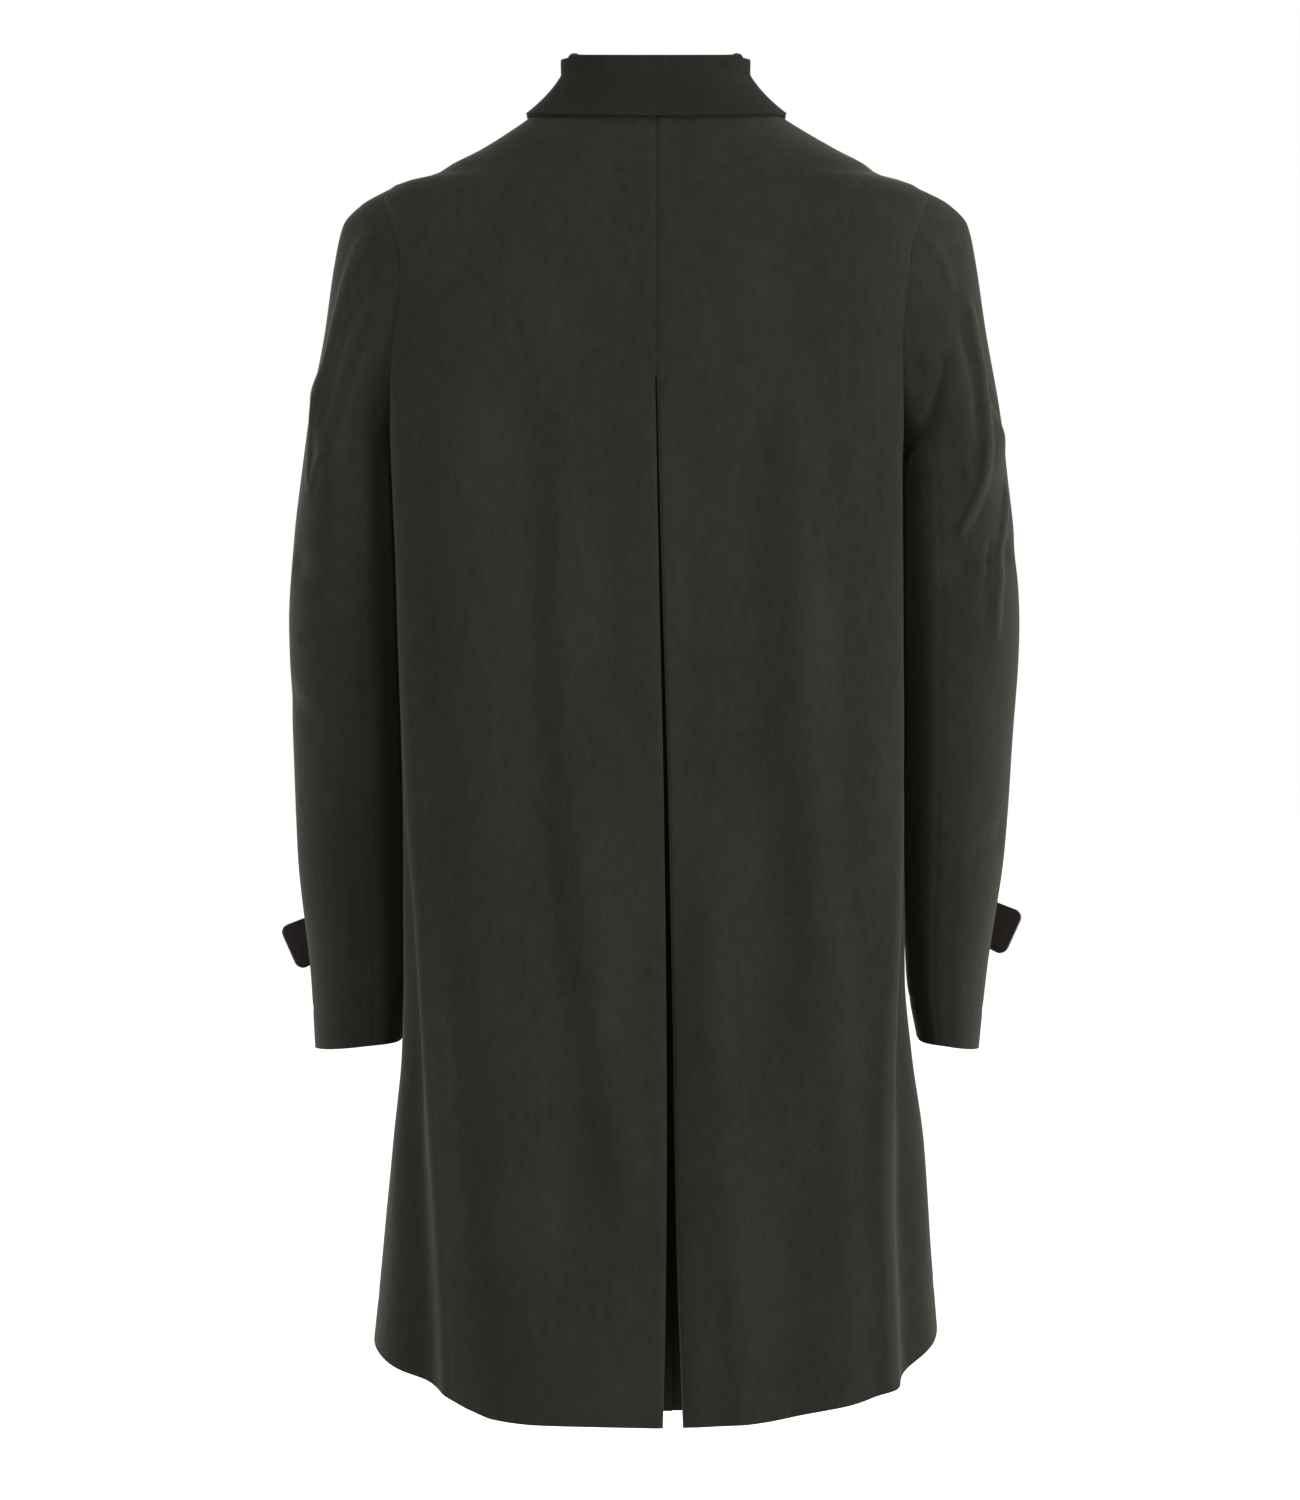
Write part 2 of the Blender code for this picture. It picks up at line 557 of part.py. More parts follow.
def sleeve_grid(side, first, last, curve):
    """One piece of a sleeve between two seams, given in steps round it."""
    whole = 2 * ARMHOLE_ROWS
    theta = 2 * math.pi * np.arange(first, last + 1) / whole
    half_gap = (SEAM_GAP + WALL * math.tan(SEAM_TURN / 2)) / 2 / SLEEVE_NARROW
    edges = theta.copy()
    edges[0] += half_gap
    edges[-1] -= half_gap
    wrapped = (edges + math.pi) % (2 * math.pi) - math.pi
    top = ARM_MIDDLE + ARM_HALF * np.cos(wrapped)
    bottom = CUFF - CUFF_TILT * np.cos(wrapped)
    t = (np.arange(SLEEVE_ROWS + 1) / SLEEVE_ROWS)[:, None] ** SLEEVE_CROWDING
    z = top + (bottom - top) * t
    return sleeve(side, np.broadcast_to(wrapped, z.shape), z, curve)


def sleeve_fold_height(fold, degrees, z):
    """A fold along a straight line on the unrolled sleeve, faded at both ends."""
    metres = math.radians(1) * SLEEVE_RADIUS
    start = np.array([fold.angle_1 * metres, fold.z_1])
    line = np.array([fold.angle_2 * metres, fold.z_2]) - start
    length = np.linalg.norm(line)
    line /= length
    dx = degrees * metres - start[0]
    dz = z - start[1]
    along = dx * line[0] + dz * line[1]
    off = dx * line[1] - dz * line[0]
    fade = FOLD_END_FADE
    ends = ease((along + fade) / (2 * fade)) * ease((length + fade - along) / (2 * fade))
    return fold.height * ends * np.exp(-(off / fold.width) ** 2)


def neck_edge(side):
    """The half neck edge from the centre back to the centre front: points, face, f and height."""
    found = []
    back = np.linspace(1, 0, COLLAR_STEPS_BACK + 1)
    z = row_heights(side, "back", SIDE_NECK, back)
    for f, height in zip(back, z):
        found.append(("back", f, height))
    front = np.linspace(0, 1, COLLAR_STEPS_FRONT + 1)[1:] * COLLAR_FRONT_END
    z = row_heights(side, "front", SIDE_NECK, front)
    for f, height in zip(front, z):
        found.append(("front", f, height))
    return found


def collar_half(side):
    """Columns of collar points at each place along the half neck edge, from the foot to the edge."""
    places = neck_edge(side)
    base = np.array([body(side, face, [f], z)[0] for face, f, z in places])
    length = np.concatenate([[0], np.linalg.norm(np.diff(base, axis=0), axis=1).cumsum()])
    along = length / length[-1]
    run = np.gradient(base[:, :2], axis=0)
    run[0] = (run[1, 0], 0)
    r = STAND_TURN
    columns = []
    for i, (face, f, z) in enumerate(places):
        stand = float(through(COLLAR, "stand", along[i], key="along"))
        drop = float(through(COLLAR, "drop", along[i], key="along"))
        sag = float(through(COLLAR, "sag", along[i], key="along"))
        front = f if face == "front" else 0.0
        lift = COLLAR_LIFT + FRONT_LIFT * front
        spread = COLLAR_SPREAD * front ** 3
        away = np.array([run[i, 1], -run[i, 0], 0])
        away *= np.sign(away @ base[i]) / np.linalg.norm(away)
        foot = base[i] + away * STAND_SETBACK + np.array([0, 0, STAND_FOOT])
        sideways = float(ease(1.2 * abs(away[0])) * ease(1 - front / STAND_LEAN_END))
        lean = STAND_LEAN + (STAND_SIDE_LEAN - STAND_LEAN) * sideways
        top = base[i] + np.array([0, 0, stand]) + away * lean
        column = [foot, (foot + top) / 2, top - np.array([0, 0, r])]
        for turn in (45, 90, 135, 180):
            a = math.radians(turn)
            column.append(top + away * r * (1 - math.cos(a)) + np.array([0, 0, r * math.sin(a) - r]))
        start = column[-1]
        edge = body(side, face, [f - spread], z - drop, lift, 1)[0]
        for t in FALL_STEPS:
            point = start + (edge - start) * t - away * sag * 4 * t * (1 - t)
            beside = [f - spread * t, f - spread * t + 0.02]
            below = body(side, face, beside, min(point[2], z - 0.001), lift, 1)
            level = np.cross(below[1] - below[0], (0, 0, 1))
            level *= np.sign(level @ away) / np.linalg.norm(level)
            sunk = max(0.0, float((below[0] - point) @ level))
            column.append(point + away * sunk / max(0.5, float(level @ away)))
        columns.append(np.array(column))
    return np.array(columns)


def collar_grid():
    left = collar_half("left")
    right = collar_half("right")
    return np.concatenate([right[::-1], left[1:]], axis=0)


def tab_grid(side, curve):
    """A sleeve tab: it follows the front of the sleeve, then leaves it straight to its free end."""
    theta = 2 * math.pi * np.array(TAB_STEPS) / (2 * ARMHOLE_ROWS) - 2 * math.pi
    rows = []
    lift = WALL / 2 + REST_GAP + TAB_WALL / 2
    for across in (-0.5, 0.0, 0.5):
        z = TAB_HEIGHT_Z[side] + TAB_WIDTH * across - TAB_DROP * np.arange(len(theta))
        line = list(sleeve(side, theta, z, curve, lift))
        leave = line[-1] - line[-2]
        leave[2] = 0
        leave /= np.linalg.norm(leave)
        root = line[-1]
        for part in (0.34, 0.67, 1.0):
            reach = (TAB_FREE + across * TAB_WIDTH * TAB_SLOPE) * part
            line.append(root + leave * reach - np.array([0, 0, TAB_SLOPE * TAB_FREE * part]))
        rows.append(line)
    return np.array(rows)


def finish_material(name, colour, roughness):
    material = bpy.data.materials.new(name)
    material.use_nodes = True
    shader = material.node_tree.nodes["Principled BSDF"]
    shader.inputs["Base Color"].default_value = (*colour, 1)
    shader.inputs["Roughness"].default_value = roughness
    shader.inputs["Metallic"].default_value = 0.0
    return material


def cloth_object(collection, name, grid, wall, colour, roughness=0.95):
    """An open surface through a grid of points, given its wall by Solidify."""
    rows, columns = grid.shape[:2]
    number = -np.ones((rows, columns), int)
    points = []
    for i in range(rows):
        for j in range(columns):
            if not np.isnan(grid[i, j, 0]):
                number[i, j] = len(points)
                points.append(Vector(grid[i, j]))
    faces = []
    for i in range(rows - 1):
        for j in range(columns - 1):
            corners = (number[i, j], number[i, j + 1], number[i + 1, j + 1], number[i + 1, j])
            if min(corners) >= 0:
                faces.append(tuple(int(c) for c in corners))
    mesh = bpy.data.meshes.new(name)
    mesh.from_pydata(points, [], faces)
    mesh.validate()
    mesh.shade_smooth()
    thing = bpy.data.objects.new(name, mesh)
    collection.objects.link(thing)
    solid = thing.modifiers.new("wall", "SOLIDIFY")
    solid.thickness = wall
    solid.offset = 0
    mesh.materials.append(finish_material(name, colour, roughness))
    return thing


def button_object(collection, name, place, outward, radius, height):
    """A turned button with a raised rim, its flat back towards the cloth."""
    profile = (
        (0.0, height * 0.62), (radius * 0.62, height * 0.62), (radius * 0.76, height),
        (radius * 0.93, height * 0.96), (radius, height * 0.55), (radius * 0.88, 0.0), (0.0, 0.0),
    )
    mesh = bpy.data.meshes.new(name)
    points = [Vector((x, 0, z)) for x, z in profile]
    edges = [(i, i + 1) for i in range(len(points) - 1)]
    mesh.from_pydata(points, edges, [])
    thing = bpy.data.objects.new(name, mesh)
    collection.objects.link(thing)
    screw = thing.modifiers.new("turn", "SCREW")
    screw.axis = "Z"
    screw.steps = 16
    screw.render_steps = 16
    screw.use_merge_vertices = True
    screw.merge_threshold = 0.0001
    screw.use_normal_calculate = True
    thing.matrix_world = Matrix.Translation(place) @ outward.to_track_quat("Z", "Y").to_matrix().to_4x4()
    mesh.materials.append(finish_material(name, HORN, 0.35))
    return thing


def sleeve_pieces(collection, side):
    """The two halves of a sleeve, its tab and the tab's button."""
    curve = armhole_curve(side)
    whole = 2 * ARMHOLE_ROWS
    top = sleeve_grid(side, FRONT_SEAM_STEP - whole, BACK_SEAM_STEP, curve)
    under = sleeve_grid(side, BACK_SEAM_STEP, FRONT_SEAM_STEP, curve)
    cloth_object(collection, "sleeve_top_" + side, top, WALL, LODEN)
    cloth_object(collection, "sleeve_under_" + side, under, WALL, LODEN)
    tab = tab_grid(side, curve)
    cloth_object(collection, "tab_" + side, tab, TAB_WALL, LEATHER, 0.6)
    along = tab[1, 2] - tab[1, 1]
    rise = tab[2, 1] - tab[0, 1]
    outward = frontward(np.cross(along, rise))
    place = Vector((tab[1, 1] + tab[1, 2]) / 2) + outward * (TAB_WALL / 2 + REST_GAP)
    button_object(collection, "tab_button_" + side, place, outward, TAB_BUTTON_RADIUS, TAB_BUTTON_HEIGHT)


def frontward(normal):
    """The unit normal that points to the front of the coat."""
    normal = Vector(normal).normalized()
    return -normal if normal.y > 0 else normal


def front_button(collection, number):
    z = BUTTON_TOP - BUTTON_SPACING * number
    points = body("left", "front", [1.0, 1.0, 1.0], np.array([z, z + 0.01, z - 0.01]))
    outward = frontward(np.cross(points[1] - points[2], (1, 0, 0)))
    place = Vector(points[0]) + outward * (WALL / 2 + REST_GAP)
    button_object(collection, f"button_{number + 1}", place, outward, BUTTON_RADIUS, BUTTON_HEIGHT)


def main():
    clear_scene()
    collection = bpy.data.collections.new("loden_coat")
    bpy.context.scene.collection.children.link(collection)
    for side in ("left", "right"):
        cloth_object(collection, "back_" + side, back_grid(side), WALL, LODEN)
        cloth_object(collection, "front_" + side, front_grid(side), WALL, LODEN)
        sleeve_pieces(collection, side)
    cloth_object(collection, "collar", collar_grid(), COLLAR_WALL, LODEN_COLLAR)
    for number in range(BUTTON_COUNT):
        front_button(collection, number)


main()
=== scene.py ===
import math
from collections import namedtuple

import bpy
import numpy as np
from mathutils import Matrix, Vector, noise


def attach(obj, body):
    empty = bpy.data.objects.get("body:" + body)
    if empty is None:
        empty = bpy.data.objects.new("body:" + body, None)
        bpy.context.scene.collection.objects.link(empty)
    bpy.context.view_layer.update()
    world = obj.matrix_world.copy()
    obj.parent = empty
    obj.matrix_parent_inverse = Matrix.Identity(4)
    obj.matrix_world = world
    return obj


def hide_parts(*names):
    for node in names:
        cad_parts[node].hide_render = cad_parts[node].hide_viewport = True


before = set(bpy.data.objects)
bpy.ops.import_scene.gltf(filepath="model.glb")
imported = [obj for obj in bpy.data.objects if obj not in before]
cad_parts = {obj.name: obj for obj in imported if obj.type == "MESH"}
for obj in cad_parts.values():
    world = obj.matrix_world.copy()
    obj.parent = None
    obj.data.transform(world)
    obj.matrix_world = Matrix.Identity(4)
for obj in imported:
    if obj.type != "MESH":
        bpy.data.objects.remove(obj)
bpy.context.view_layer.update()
sides = ("left", "right")
print("frame loaded")

# the coat's cut, in metres: +X left as worn, +Y back, +Z up, origin at the back neck seam
coat = {
    "wall": 0.002,
    "pleatTop": -0.224,
    "underarm": -0.300,
    "shoulderTip": -0.070,
    "sideNeck": 0.010,
    "armholeBack": 0.088,
    "armholeFront": 0.068,
    "lapWidth": 0.035,
    "lapLift": 0.0015,
    "seamGap": 0.00014,
    "restGap": 0.0004,
    "foldGain": 1.25,
    "pastHem": -1.0,
    "probe": 0.003,
    "lapEnd": 0.075,
    "lapFade": 0.035,
    "driftReach": 0.12,
}
armMiddle = (coat["shoulderTip"] + coat["underarm"]) / 2
armHalf = (coat["shoulderTip"] - coat["underarm"]) / 2

# level sections of the body: half widths, depths and how square the corners are
bodyRow = namedtuple("bodyRow", "z left right back front backCorner frontCorner")
bodyTable = (
    bodyRow(-1.045, 0.2315, 0.2310, 0.158, 0.170, 3.0, 2.7),
    bodyRow(-0.930, 0.2190, 0.2215, 0.152, 0.164, 3.3, 2.8),
    bodyRow(-0.834, 0.2095, 0.2145, 0.146, 0.158, 3.8, 2.9),
    bodyRow(-0.760, 0.2020, 0.2040, 0.140, 0.152, 4.3, 3.0),
    bodyRow(-0.700, 0.2005, 0.1985, 0.136, 0.148, 4.6, 3.0),
    bodyRow(-0.530, 0.2020, 0.1980, 0.128, 0.142, 5.2, 3.0),
    bodyRow(-0.450, 0.2035, 0.1965, 0.127, 0.141, 5.4, 3.0),
    bodyRow(-0.300, 0.2090, 0.1960, 0.126, 0.140, 5.2, 3.0),
    bodyRow(-0.250, 0.2125, 0.1985, 0.123, 0.137, 5.0, 3.0),
    bodyRow(-0.200, 0.2200, 0.2070, 0.118, 0.130, 4.6, 3.0),
    bodyRow(-0.140, 0.2255, 0.2240, 0.105, 0.118, 4.0, 3.0),
    bodyRow(-0.085, 0.2225, 0.2225, 0.091, 0.102, 3.3, 2.9),
    bodyRow(-0.070, 0.2080, 0.2060, 0.086, 0.097, 2.8, 2.7),
    bodyRow(-0.063, 0.1800, 0.1810, 0.0835, 0.0945, 2.7, 2.6),
    bodyRow(-0.0525, 0.1635, 0.1670, 0.0790, 0.0905, 2.5, 2.5),
    bodyRow(-0.043, 0.1445, 0.1490, 0.0745, 0.086, 2.4, 2.4),
    bodyRow(-0.014, 0.1000, 0.1010, 0.0570, 0.068, 2.3, 2.3),
    bodyRow(0.000, 0.0825, 0.0825, 0.0460, 0.056, 2.2, 2.2),
    bodyRow(0.012, 0.0680, 0.0680, 0.0400, 0.040, 2.2, 2.2),
)

# where each row of a panel, named by its height at the side, meets the centre line
rowEnd = namedtuple("rowEnd", "side back front")
rowEnds = (
    rowEnd(-0.984, -1.039, -1.020),
    rowEnd(-0.300, -0.298, -0.315),
    rowEnd(-0.2327, -0.224, -0.245),
    rowEnd(-0.070, -0.075, -0.130),
    rowEnd(0.010, 0.000, -0.070),
)

# height of the back hem by girth fraction, side seam to centre back
hemRow = namedtuple("hemRow", "at left right")
hemTable = (
    hemRow(0.00, -0.9840, -0.9740),
    hemRow(0.24, -0.9945, -0.9880),
    hemRow(0.36, -1.0030, -1.0050),
    hemRow(0.46, -1.0110, -1.0150),
    hemRow(0.53, -1.0175, -1.0210),
    hemRow(0.58, -1.0270, -1.0250),
    hemRow(0.64, -1.0335, -1.0285),
    hemRow(0.76, -1.0370, -1.0345),
    hemRow(1.00, -1.0390, -1.0390),
)

# the back's pressed outer edge, measured round the cloth from the centre back
edgeRow = namedtuple("edgeRow", "z left right")
edgeTable = (
    edgeRow(-1.045, 0.156, 0.186),
    edgeRow(-0.944, 0.161, 0.182),
    edgeRow(-0.867, 0.166, 0.178),
    edgeRow(-0.790, 0.172, 0.180),
    edgeRow(-0.650, 0.184, 0.192),
    edgeRow(-0.530, 0.203, 0.205),
    edgeRow(-0.200, 0.212, 0.205),
    edgeRow(0.012, 0.060, 0.060),
)

# the inverted pleat: sideways drift, half its mouth, depth of its inner fold and of its underlay
pleatRow = namedtuple("pleatRow", "z drift mouth inner underlay")
pleatTable = (
    pleatRow(-1.045, -0.0132, 0.0078, 0.046, 0.078),
    pleatRow(-0.930, -0.0122, 0.0045, 0.036, 0.062),
    pleatRow(-0.790, -0.0112, 0.0028, 0.024, 0.042),
    pleatRow(-0.560, -0.0080, 0.0018, 0.013, 0.024),
    pleatRow(-0.400, -0.0040, 0.0012, 0.0080, 0.0150),
    pleatRow(-0.224, 0.0, 0.0004, 0.0048, 0.0096),
)

# level sections of the sleeves
sleeveRow = namedtuple("sleeveRow", "z leftOuter rightOuter leftInner rightInner back front")
sleeveTable = (
    sleeveRow(-0.764, 0.2770, 0.2628, 0.2055, 0.2140, 0.0200, 0.1020),
    sleeveRow(-0.700, 0.2805, 0.2690, 0.2022, 0.2035, 0.0295, 0.0980),
    sleeveRow(-0.600, 0.2898, 0.2825, 0.2030, 0.2002, 0.0475, 0.0925),
    sleeveRow(-0.500, 0.2922, 0.2880, 0.2041, 0.1992, 0.0680, 0.0855),
    sleeveRow(-0.420, 0.2945, 0.2920, 0.2062, 0.1980, 0.0800, 0.0815),
    sleeveRow(-0.350, 0.2895, 0.2875, 0.2092, 0.1977, 0.0875, 0.0800),
    sleeveRow(-0.300, 0.2835, 0.2815, 0.2113, 0.1983, 0.0900, 0.0790),
    sleeveRow(-0.250, 0.2765, 0.2755, 0.1965, 0.1750, 0.0925, 0.0780),
    sleeveRow(-0.185, 0.2645, 0.2640, 0.1645, 0.1600, 0.0925, 0.0755),
    sleeveRow(-0.130, 0.2565, 0.2560, 0.1570, 0.1560, 0.0880, 0.0720),
    sleeveRow(-0.1005, 0.2500, 0.2500, 0.1500, 0.1500, 0.0800, 0.0705),
    sleeveRow(-0.0845, 0.2356, 0.2356, 0.1356, 0.1356, 0.0755, 0.0690),
    sleeveRow(-0.070, 0.2090, 0.2070, 0.1200, 0.1200, 0.0720, 0.0680),
)

# the collar along the half neck edge, 0 at the centre back
collarRow = namedtuple("collarRow", "along stand drop sag")
collarTable = (
    collarRow(0.00, 0.0285, 0.0220, 0.0010),
    collarRow(0.25, 0.0280, 0.0230, 0.0030),
    collarRow(0.42, 0.0270, 0.0250, 0.0065),
    collarRow(0.70, 0.0220, 0.0400, 0.0010),
    collarRow(1.00, 0.0130, 0.0560, -0.0020),
)

# soft hanging folds: (height, distance from the centre line) along each
fold = namedtuple("fold", "side face height width fade path")
folds = (
    fold("left", "back", 0.0034, 0.026, 0.12, ((-0.20, 0.0), (-0.62, 0.0))),
    fold("left", "back", -0.0016, 0.013, 0.10, ((-0.24, 0.036), (-0.55, 0.040))),
    fold("left", "back", 0.0038, 0.015, 0.09,
         ((-0.25, 0.072), (-0.40, 0.074), (-0.52, 0.069), (-0.64, 0.058), (-0.78, 0.040), (-0.92, 0.024))),
    fold("left", "back", -0.0036, 0.020, 0.09,
         ((-0.24, 0.100), (-0.40, 0.101), (-0.52, 0.096), (-0.64, 0.086), (-0.78, 0.067), (-0.94, 0.050))),
    fold("left", "back", 0.0036, 0.030, 0.12,
         ((-0.20, 0.148), (-0.60, 0.140), (-0.78, 0.122), (-1.05, 0.100))),
    fold("right", "back", 0.0034, 0.020, 0.12, ((-0.20, 0.0), (-0.62, 0.0))),
    fold("right", "back", -0.0050, 0.017, 0.14, ((-0.60, 0.0), (-1.05, 0.0))),
    fold("right", "back", 0.0036, 0.017, 0.12,
         ((-0.56, 0.034), (-0.63, 0.037), (-0.79, 0.045), (-0.95, 0.060), (-1.05, 0.066))),
    fold("right", "back", -0.0040, 0.022, 0.10,
         ((-0.20, 0.066), (-0.34, 0.068), (-0.48, 0.073), (-0.60, 0.081), (-0.71, 0.090), (-0.86, 0.098),
          (-1.05, 0.106))),
    fold("right", "back", 0.0048, 0.017, 0.10,
         ((-0.20, 0.106), (-0.34, 0.112), (-0.48, 0.116), (-0.60, 0.121), (-0.71, 0.136), (-0.86, 0.147),
          (-1.05, 0.158))),
    fold("right", "back", -0.0022, 0.014, 0.10, ((-0.30, 0.142), (-0.60, 0.150), (-0.76, 0.164))),
    fold("left", "front", -0.0040, 0.024, 0.12, ((-0.32, 0.100), (-0.70, 0.110), (-1.05, 0.125))),
    fold("left", "front", 0.0050, 0.024, 0.12, ((-0.40, 0.150), (-0.75, 0.160), (-1.05, 0.175))),
    fold("right", "front", -0.0040, 0.024, 0.12, ((-0.36, 0.095), (-0.70, 0.100), (-1.05, 0.118))),
    fold("right", "front", 0.0045, 0.024, 0.12, ((-0.45, 0.148), (-0.75, 0.155), (-1.05, 0.168))),
)

# drag folds of the sleeves: degrees round from the outer side over the back, and height
sleeveFold = namedtuple("sleeveFold", "side angle1 z1 angle2 z2 height width")
sleeveFolds = (
    sleeveFold("right", 100, -0.215, 158, -0.290, -0.0050, 0.013),
    sleeveFold("right", 20, -0.262, 78, -0.318, 0.0045, 0.014),
    sleeveFold("right", 40, -0.362, 110, -0.372, -0.0045, 0.012),
    sleeveFold("right", -70, -0.330, 10, -0.372, -0.0040, 0.014),
    sleeveFold("left", 20, -0.226, 80, -0.300, 0.0045, 0.015),
    sleeveFold("left", 30, -0.372, 110, -0.400, -0.0045, 0.013),
    sleeveFold("left", 10, -0.470, 70, -0.500, -0.0030, 0.013),
    sleeveFold("left", -90, -0.350, -10, -0.380, -0.0040, 0.014),
    sleeveFold("right", 30, -0.585, 80, -0.600, -0.0030, 0.013),
)

# narrow creases of the sleeves, with a painted highlight along the raised ones: (degrees, height) along each
crease = namedtuple("crease", "side height width path")
creases = (
    crease("right", 0.0040, 0.0042,
           ((36, -0.165), (40, -0.226), (52, -0.274), (66, -0.307), (81, -0.332), (97, -0.352))),
    crease("right", -0.0030, 0.0060, ((50, -0.180), (54, -0.232), (66, -0.280), (78, -0.305))),
    crease("right", 0.0034, 0.0042, ((30, -0.310), (46, -0.350), (58, -0.400), (60, -0.430))),
    crease("right", -0.0024, 0.0055, ((62, -0.352), (72, -0.400), (74, -0.430))),
    crease("right", -0.0044, 0.0064, ((70, -0.206), (92, -0.240), (115, -0.267), (150, -0.292))),
    crease("right", -0.0022, 0.0060, ((82, -0.300), (142, -0.309))),
    crease("right", -0.0026, 0.0045, ((102, -0.377), (80, -0.372), (61, -0.371))),
    crease("right", -0.0018, 0.0050, ((44, -0.228), (20, -0.262), (8, -0.285))),
    crease("right", 0.0018, 0.0036, ((45, -0.112), (48, -0.157))),
    crease("right", -0.0014, 0.0055, ((142, -0.480), (95, -0.472), (50, -0.480))),
    crease("left", 0.0036, 0.0052, ((36, -0.110), (35, -0.180), (36, -0.238), (40, -0.274), (46, -0.314))),
    crease("left", -0.0020, 0.0070, ((56, -0.150), (54, -0.210), (58, -0.270))),
    crease("left", 0.0012, 0.0070, ((78, -0.205), (81, -0.236), (85, -0.268), (93, -0.303))),
    crease("left", 0.0028, 0.0045, ((66, -0.284), (55, -0.298), (50, -0.318))),
    crease("left", -0.0022, 0.0045, ((111, -0.427), (87, -0.425), (44, -0.432))),
    crease("left", -0.0018, 0.0045, ((81, -0.471), (47, -0.471))),
    crease("left", -0.0014, 0.0055, ((31, -0.560), (87, -0.551), (130, -0.559))),
    crease("left", -0.0020, 0.0055, ((-20, -0.330), (-60, -0.345), (-100, -0.362))),
    crease("left", -0.0016, 0.0050, ((-30, -0.420), (-90, -0.412))),
    crease("right", -0.0020, 0.0055, ((-20, -0.345), (-55, -0.338), (-95, -0.350))),
    crease("right", 0.0018, 0.0050, ((-35, -0.250), (-60, -0.300), (-95, -0.330))),
)


def smoothCurve(xs, ys, at):
    at = np.clip(np.asarray(at, float), xs[0], xs[-1])
    step = np.diff(xs)
    rise = np.diff(ys) / step
    slope = np.zeros_like(ys)
    slope[0], slope[-1] = rise[0], rise[-1]
    for i in range(1, len(xs) - 1):
        if rise[i - 1] * rise[i] > 0:
            slope[i] = 2 * rise[i - 1] * rise[i] / (rise[i - 1] + rise[i])
    i = np.clip(np.searchsorted(xs, at, side="right") - 1, 0, len(xs) - 2)
    t = (at - xs[i]) / step[i]
    start = ys[i] * (1 + 2 * t) * (1 - t) ** 2 + slope[i] * step[i] * t * (1 - t) ** 2
    return start + ys[i + 1] * t * t * (3 - 2 * t) + slope[i + 1] * step[i] * t * t * (t - 1)


def through(rows, column, at, key="z"):
    rows = sorted(rows, key=lambda row: getattr(row, key))
    xs = np.array([getattr(row, key) for row in rows], float)
    ys = np.array([getattr(row, column) for row in rows], float)
    return smoothCurve(xs, ys, at)


def ease(t):
    t = np.clip(t, 0.0, 1.0)
    return t * t * (3 - 2 * t)


def bump(distance, width):
    return np.exp(-(distance / width) ** 2)


# the level sections worked out once, on a fine net of heights and girth fractions
net = {"step": 0.0025, "low": -1.10, "high": 0.02, "across": 481, "angles": 961}
netLevels = np.arange(net["low"], net["high"], net["step"])
netFractions = np.linspace(0, 1, net["across"])


def sectionNet(side, face):
    width = (through(bodyTable, side, netLevels) - coat["wall"] / 2)[:, None]
    depth = (through(bodyTable, face, netLevels) - coat["wall"] / 2)[:, None]
    corner = through(bodyTable, face + "Corner", netLevels)[:, None]
    angle = np.linspace(0, math.pi / 2, net["angles"])[None, :]
    across, deep = np.abs(np.cos(angle)) / width, np.abs(np.sin(angle)) / depth
    reach = (across ** corner + deep ** corner) ** (-1 / corner)
    x, y = reach * np.cos(angle), reach * np.sin(angle)
    girth = np.concatenate([np.zeros_like(width), np.hypot(np.diff(x), np.diff(y)).cumsum(axis=1)], axis=1)
    evenX = [np.interp(netFractions * g[-1], g, row) for g, row in zip(girth, x)]
    evenY = [np.interp(netFractions * g[-1], g, row) for g, row in zip(girth, y)]
    return {"x": np.array(evenX), "y": np.array(evenY), "girth": girth[:, -1]}


sections = {(side, face): sectionNet(side, face) for side in sides for face in ("back", "front")}


def girthAt(side, face, z):
    return np.interp(z, netLevels, sections[side, face]["girth"])


def plainBody(side, face, f, z):
    table = sections[side, face]
    i = np.clip((z - net["low"]) / net["step"], 0, len(netLevels) - 1.001)
    j = np.clip(np.where(f > 1, 2 - f, f), 0, 1) * (net["across"] - 1.001)
    i0, j0 = i.astype(int), j.astype(int)
    ti, tj = i - i0, j - j0
    flat = []
    for grid in (table["x"], table["y"]):
        low = grid[i0, j0] * (1 - tj) + grid[i0, j0 + 1] * tj
        high = grid[i0 + 1, j0] * (1 - tj) + grid[i0 + 1, j0 + 1] * tj
        flat.append(low * (1 - ti) + high * ti)
    sign = 1 if side == "left" else -1
    turn = 1 if face == "back" else -1
    return np.stack([np.where(f > 1, -flat[0], flat[0]) * sign, flat[1] * turn, z], axis=-1)


# the pressed edge's ridge and hollow, and the width and fade of a painted highlight along its crest
pressedEdge = {"height": 0.010, "width": 0.012, "hollow": -0.010, "hollowWidth": 0.019, "offset": 0.031,
               "top": -0.46, "fade": 0.30, "highlightWidth": 0.0035, "highlightFade": 0.4}


def foldHeight(side, face, distance, z):
    total = np.zeros_like(z)
    for each in folds:
        if (each.side, each.face) != (side, face):
            continue
        path = np.array(sorted(each.path))
        line = smoothCurve(path[:, 0], path[:, 1], z)
        strength = ease((path[-1, 0] - z) / each.fade)
        if path[0, 0] > coat["pastHem"]:  # a lower path runs out through the hem
            strength = strength * ease((z - path[0, 0]) / each.fade)
        total += coat["foldGain"] * each.height * strength * bump(distance - line, each.width)
    if face == "back":
        edge = pressedEdge
        off = distance - through(edgeTable, side, z)
        strength = ease((edge["top"] - z) / edge["fade"])
        total += edge["height"] * strength * bump(off, edge["width"])
        total += edge["hollow"] * strength * bump(off - edge["offset"], edge["hollowWidth"])
    return total


